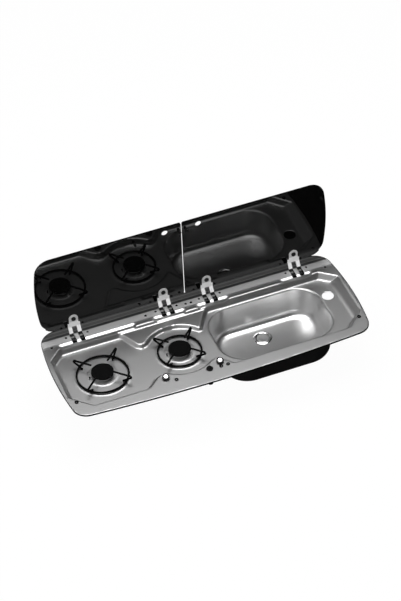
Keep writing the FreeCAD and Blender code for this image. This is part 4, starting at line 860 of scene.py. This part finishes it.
def hingeEdge(hand):
    # a path along the edge and round its outer corner, with a four-sided section whose width
    # fades with the turn as a cosine
    turn = np.radians(np.linspace(0, lidEdge["turn"], lidEdge["turnSteps"]))
    straight = np.linspace(lidEdge["inner"], lidEdge["outer"], lidEdge["straightSteps"] + 1)[:-1]
    alongX = np.concatenate([straight, lidEdge["outer"] - lidEdge["round"] * np.sin(turn)])
    lean = np.concatenate([0 * straight, turn])
    alongY = lidEdge["back"] - lidEdge["round"] * (1 - np.cos(lean))
    wide = lidEdge["wide"] * np.cos(lean * 90 / lidEdge["turn"]) + lidEdge["least"]
    rings = []
    lapped = np.full(len(wide), -lidEdge["lap"])
    for away, level in ((lapped, "under"), (wide, "under"), (wide, "over"), (lapped, "over")):
        rings.append(np.stack([alongX - away * np.sin(lean), alongY + away * np.cos(lean),
                               np.full(len(wide), lidEdge[level])], -1))
    path = np.stack(rings, 1)
    path[..., 0] *= -hand
    pivotY, pivotZ = lidEdge["pivot"]
    swing = math.radians(lidEdge["open"])
    awayY, awayZ = path[..., 1] - pivotY, path[..., 2] - pivotZ
    y = pivotY + math.cos(swing) * awayY + math.sin(swing) * awayZ
    z = pivotZ - math.sin(swing) * awayY + math.cos(swing) * awayZ
    points = np.stack([path[..., 0], y, z], -1).reshape(-1, 3)
    last = len(points) - 4
    ends = np.array([[0, 1, 2, 3], [last, last + 1, last + 2, last + 3]])
    return points, np.concatenate([gridFaces(len(path), 4, True), ends])


for body, hand in (("hob_lid", -1), ("sink_lid", 1)):
    points, faces = hingeEdge(hand)
    addPiece(body.replace("_lid", "LidEdge"), points, faces, body, [], "blackGlass")
print("fittings made")


# Floor, backdrop and light. The background is white to the camera, to mirrors and through glass.
stage = {"half": 9.0, "drop": 0.0015, "floorTone": 0.9, "floorWhite": 0.97, "skyLight": 0.55}


def seesWhite(paint):
    direct, mirrored, through = (paint.node("ShaderNodeLightPath", out=kind) for kind in (
        "Is Camera Ray", "Is Glossy Ray", "Is Transmission Ray"))
    return direct.above(mirrored).above(through)


def makeStage():
    paint = Paint(bpy.data.materials.new("paleFloor"))
    plain = paint.node("ShaderNodeBsdfDiffuse", {}, {"Color": grey(stage["floorTone"])})
    white = paint.node("ShaderNodeEmission", {}, {"Color": grey(1.0), "Strength": 1.0})
    share = stage["floorWhite"] * seesWhite(paint)
    floor = paint.surface(paint.node("ShaderNodeMixShader", {}, {0: share, 1: plain, 2: white}))
    half, lowest = stage["half"], cadBox[0][2] - stage["drop"]
    corners = [(-half, -half, lowest), (half, -half, lowest), (half, half, lowest), (-half, half, lowest)]
    mesh = bpy.data.meshes.new("floor")
    mesh.from_pydata(corners, [], [(0, 1, 2, 3)])
    mesh.materials.append(floor)
    ground = bpy.data.objects.new("floor", mesh)
    scene.collection.objects.link(ground)

    paint = Paint(bpy.data.worlds.new("studio"))
    level = stage["skyLight"] + (1 - stage["skyLight"]) * seesWhite(paint)
    sky = paint.node("ShaderNodeBackground", {}, {"Color": grey(1.0), "Strength": level})
    scene.world = paint.surface(sky)


# A dark tent that only reflections see: it keeps the low horizon dark in the steel and the glass
tent = {"radius": 2.2, "hub": 0.02, "low": -0.145, "high": 8.0, "steps": 64,
        "front": 0.02, "left": 0.40, "back": 0.02, "right": 0.015}


def makeTent():
    # a wall x = r cos a, y = r sin a, with a flat ring under the part
    angle = np.linspace(0, 2 * np.pi, tent["steps"], endpoint=False)
    spread = np.array([tent["hub"], tent["radius"], tent["radius"]])[:, None]
    level = np.array([tent["low"], tent["low"], tent["high"]])[:, None]
    points = np.stack([spread * np.cos(angle), spread * np.sin(angle), level + 0 * angle], -1)
    mesh = bpy.data.meshes.new("tent")
    mesh.from_pydata(points.reshape(-1, 3).tolist(), [], gridFaces(3, tent["steps"], True).tolist())
    # its tone goes around from side to side, as a cosine for front and back and one for left and right
    paint = Paint(bpy.data.materials.new("tentCloth"))
    place = paint.node("ShaderNodeTexCoord", out="Object")
    acrossX, acrossY = (paint.along(place, axis) * (1 / tent["radius"]) for axis in "XY")
    tone = (tent["right"] * acrossX.above(0.0) + tent["left"] * (0.0 - acrossX).above(0.0)
            + tent["back"] * acrossY.above(0.0) + tent["front"] * (0.0 - acrossY).above(0.0))
    glow = paint.node("ShaderNodeEmission", {}, {"Color": tone, "Strength": 1.0})
    mesh.materials.append(paint.surface(glow))
    wall = bpy.data.objects.new("tent", mesh)
    scene.collection.objects.link(wall)
    wall.visible_camera = False
    wall.visible_diffuse = False
    wall.visible_transmission = False
    wall.visible_shadow = False


lamps = {
    "overhead": {"place": (0.0, 0.22, 2.1), "aim": (0.0, 0.22, 0.0), "size": (2.0, 1.6), "power": 42.0},
    "frontFill": {"place": (-1.6, -1.9, 1.9), "aim": (0.0, 0.0, 0.0), "size": (1.4, 1.0), "power": 8.0},
}


def makeLamps():
    for name, lamp in lamps.items():
        light = bpy.data.lights.new(name, "AREA")
        light.shape = "RECTANGLE"
        light.size, light.size_y = lamp["size"]
        light.energy = lamp["power"]
        holder = bpy.data.objects.new(name, light)
        scene.collection.objects.link(holder)
        holder.location = lamp["place"]
        way = Vector(lamp["aim"]) - Vector(lamp["place"])
        holder.rotation_euler = way.to_track_quat("-Z", "Y").to_euler()
        holder.visible_camera = False


# Camera at the photo's angle, fitted to the plate's outline
camera = {"azimuth": -18.868, "elevation": 42.626, "roll": -3.451, "distance": 6.09528,
          "target": (0.036362, 0.134783, 0.004), "focal": 2135.0, "imageHeight": 601.0, "sensor": 36.0,
          "farthest": 100.0}


def makeCamera():
    turn, lift, roll = (math.radians(camera[key]) for key in ("azimuth", "elevation", "roll"))
    back = Vector((math.sin(turn) * math.cos(lift), -math.cos(turn) * math.cos(lift), math.sin(lift)))
    right = Vector((0, 0, 1)).cross(back).normalized()
    up = back.cross(right)
    level = right * math.cos(roll) + up * math.sin(roll)
    raised = up * math.cos(roll) - right * math.sin(roll)
    place = Vector(camera["target"]) + back * camera["distance"]
    eye = bpy.data.cameras.new("photoCamera")
    eye.sensor_width = camera["sensor"]
    eye.sensor_fit = "AUTO"
    eye.lens = camera["focal"] * camera["sensor"] / camera["imageHeight"]
    eye.clip_end = camera["farthest"]
    holder = bpy.data.objects.new("photoCamera", eye)
    scene.collection.objects.link(holder)
    holder.matrix_world = Matrix((
        (level.x, raised.x, back.x, place.x), (level.y, raised.y, back.y, place.y),
        (level.z, raised.z, back.z, place.z), (0, 0, 0, 1)))
    scene.camera = holder


makeStage()
makeTent()
makeLamps()
makeCamera()
scene.view_settings.view_transform = "Standard"
print("stage, light and camera set")
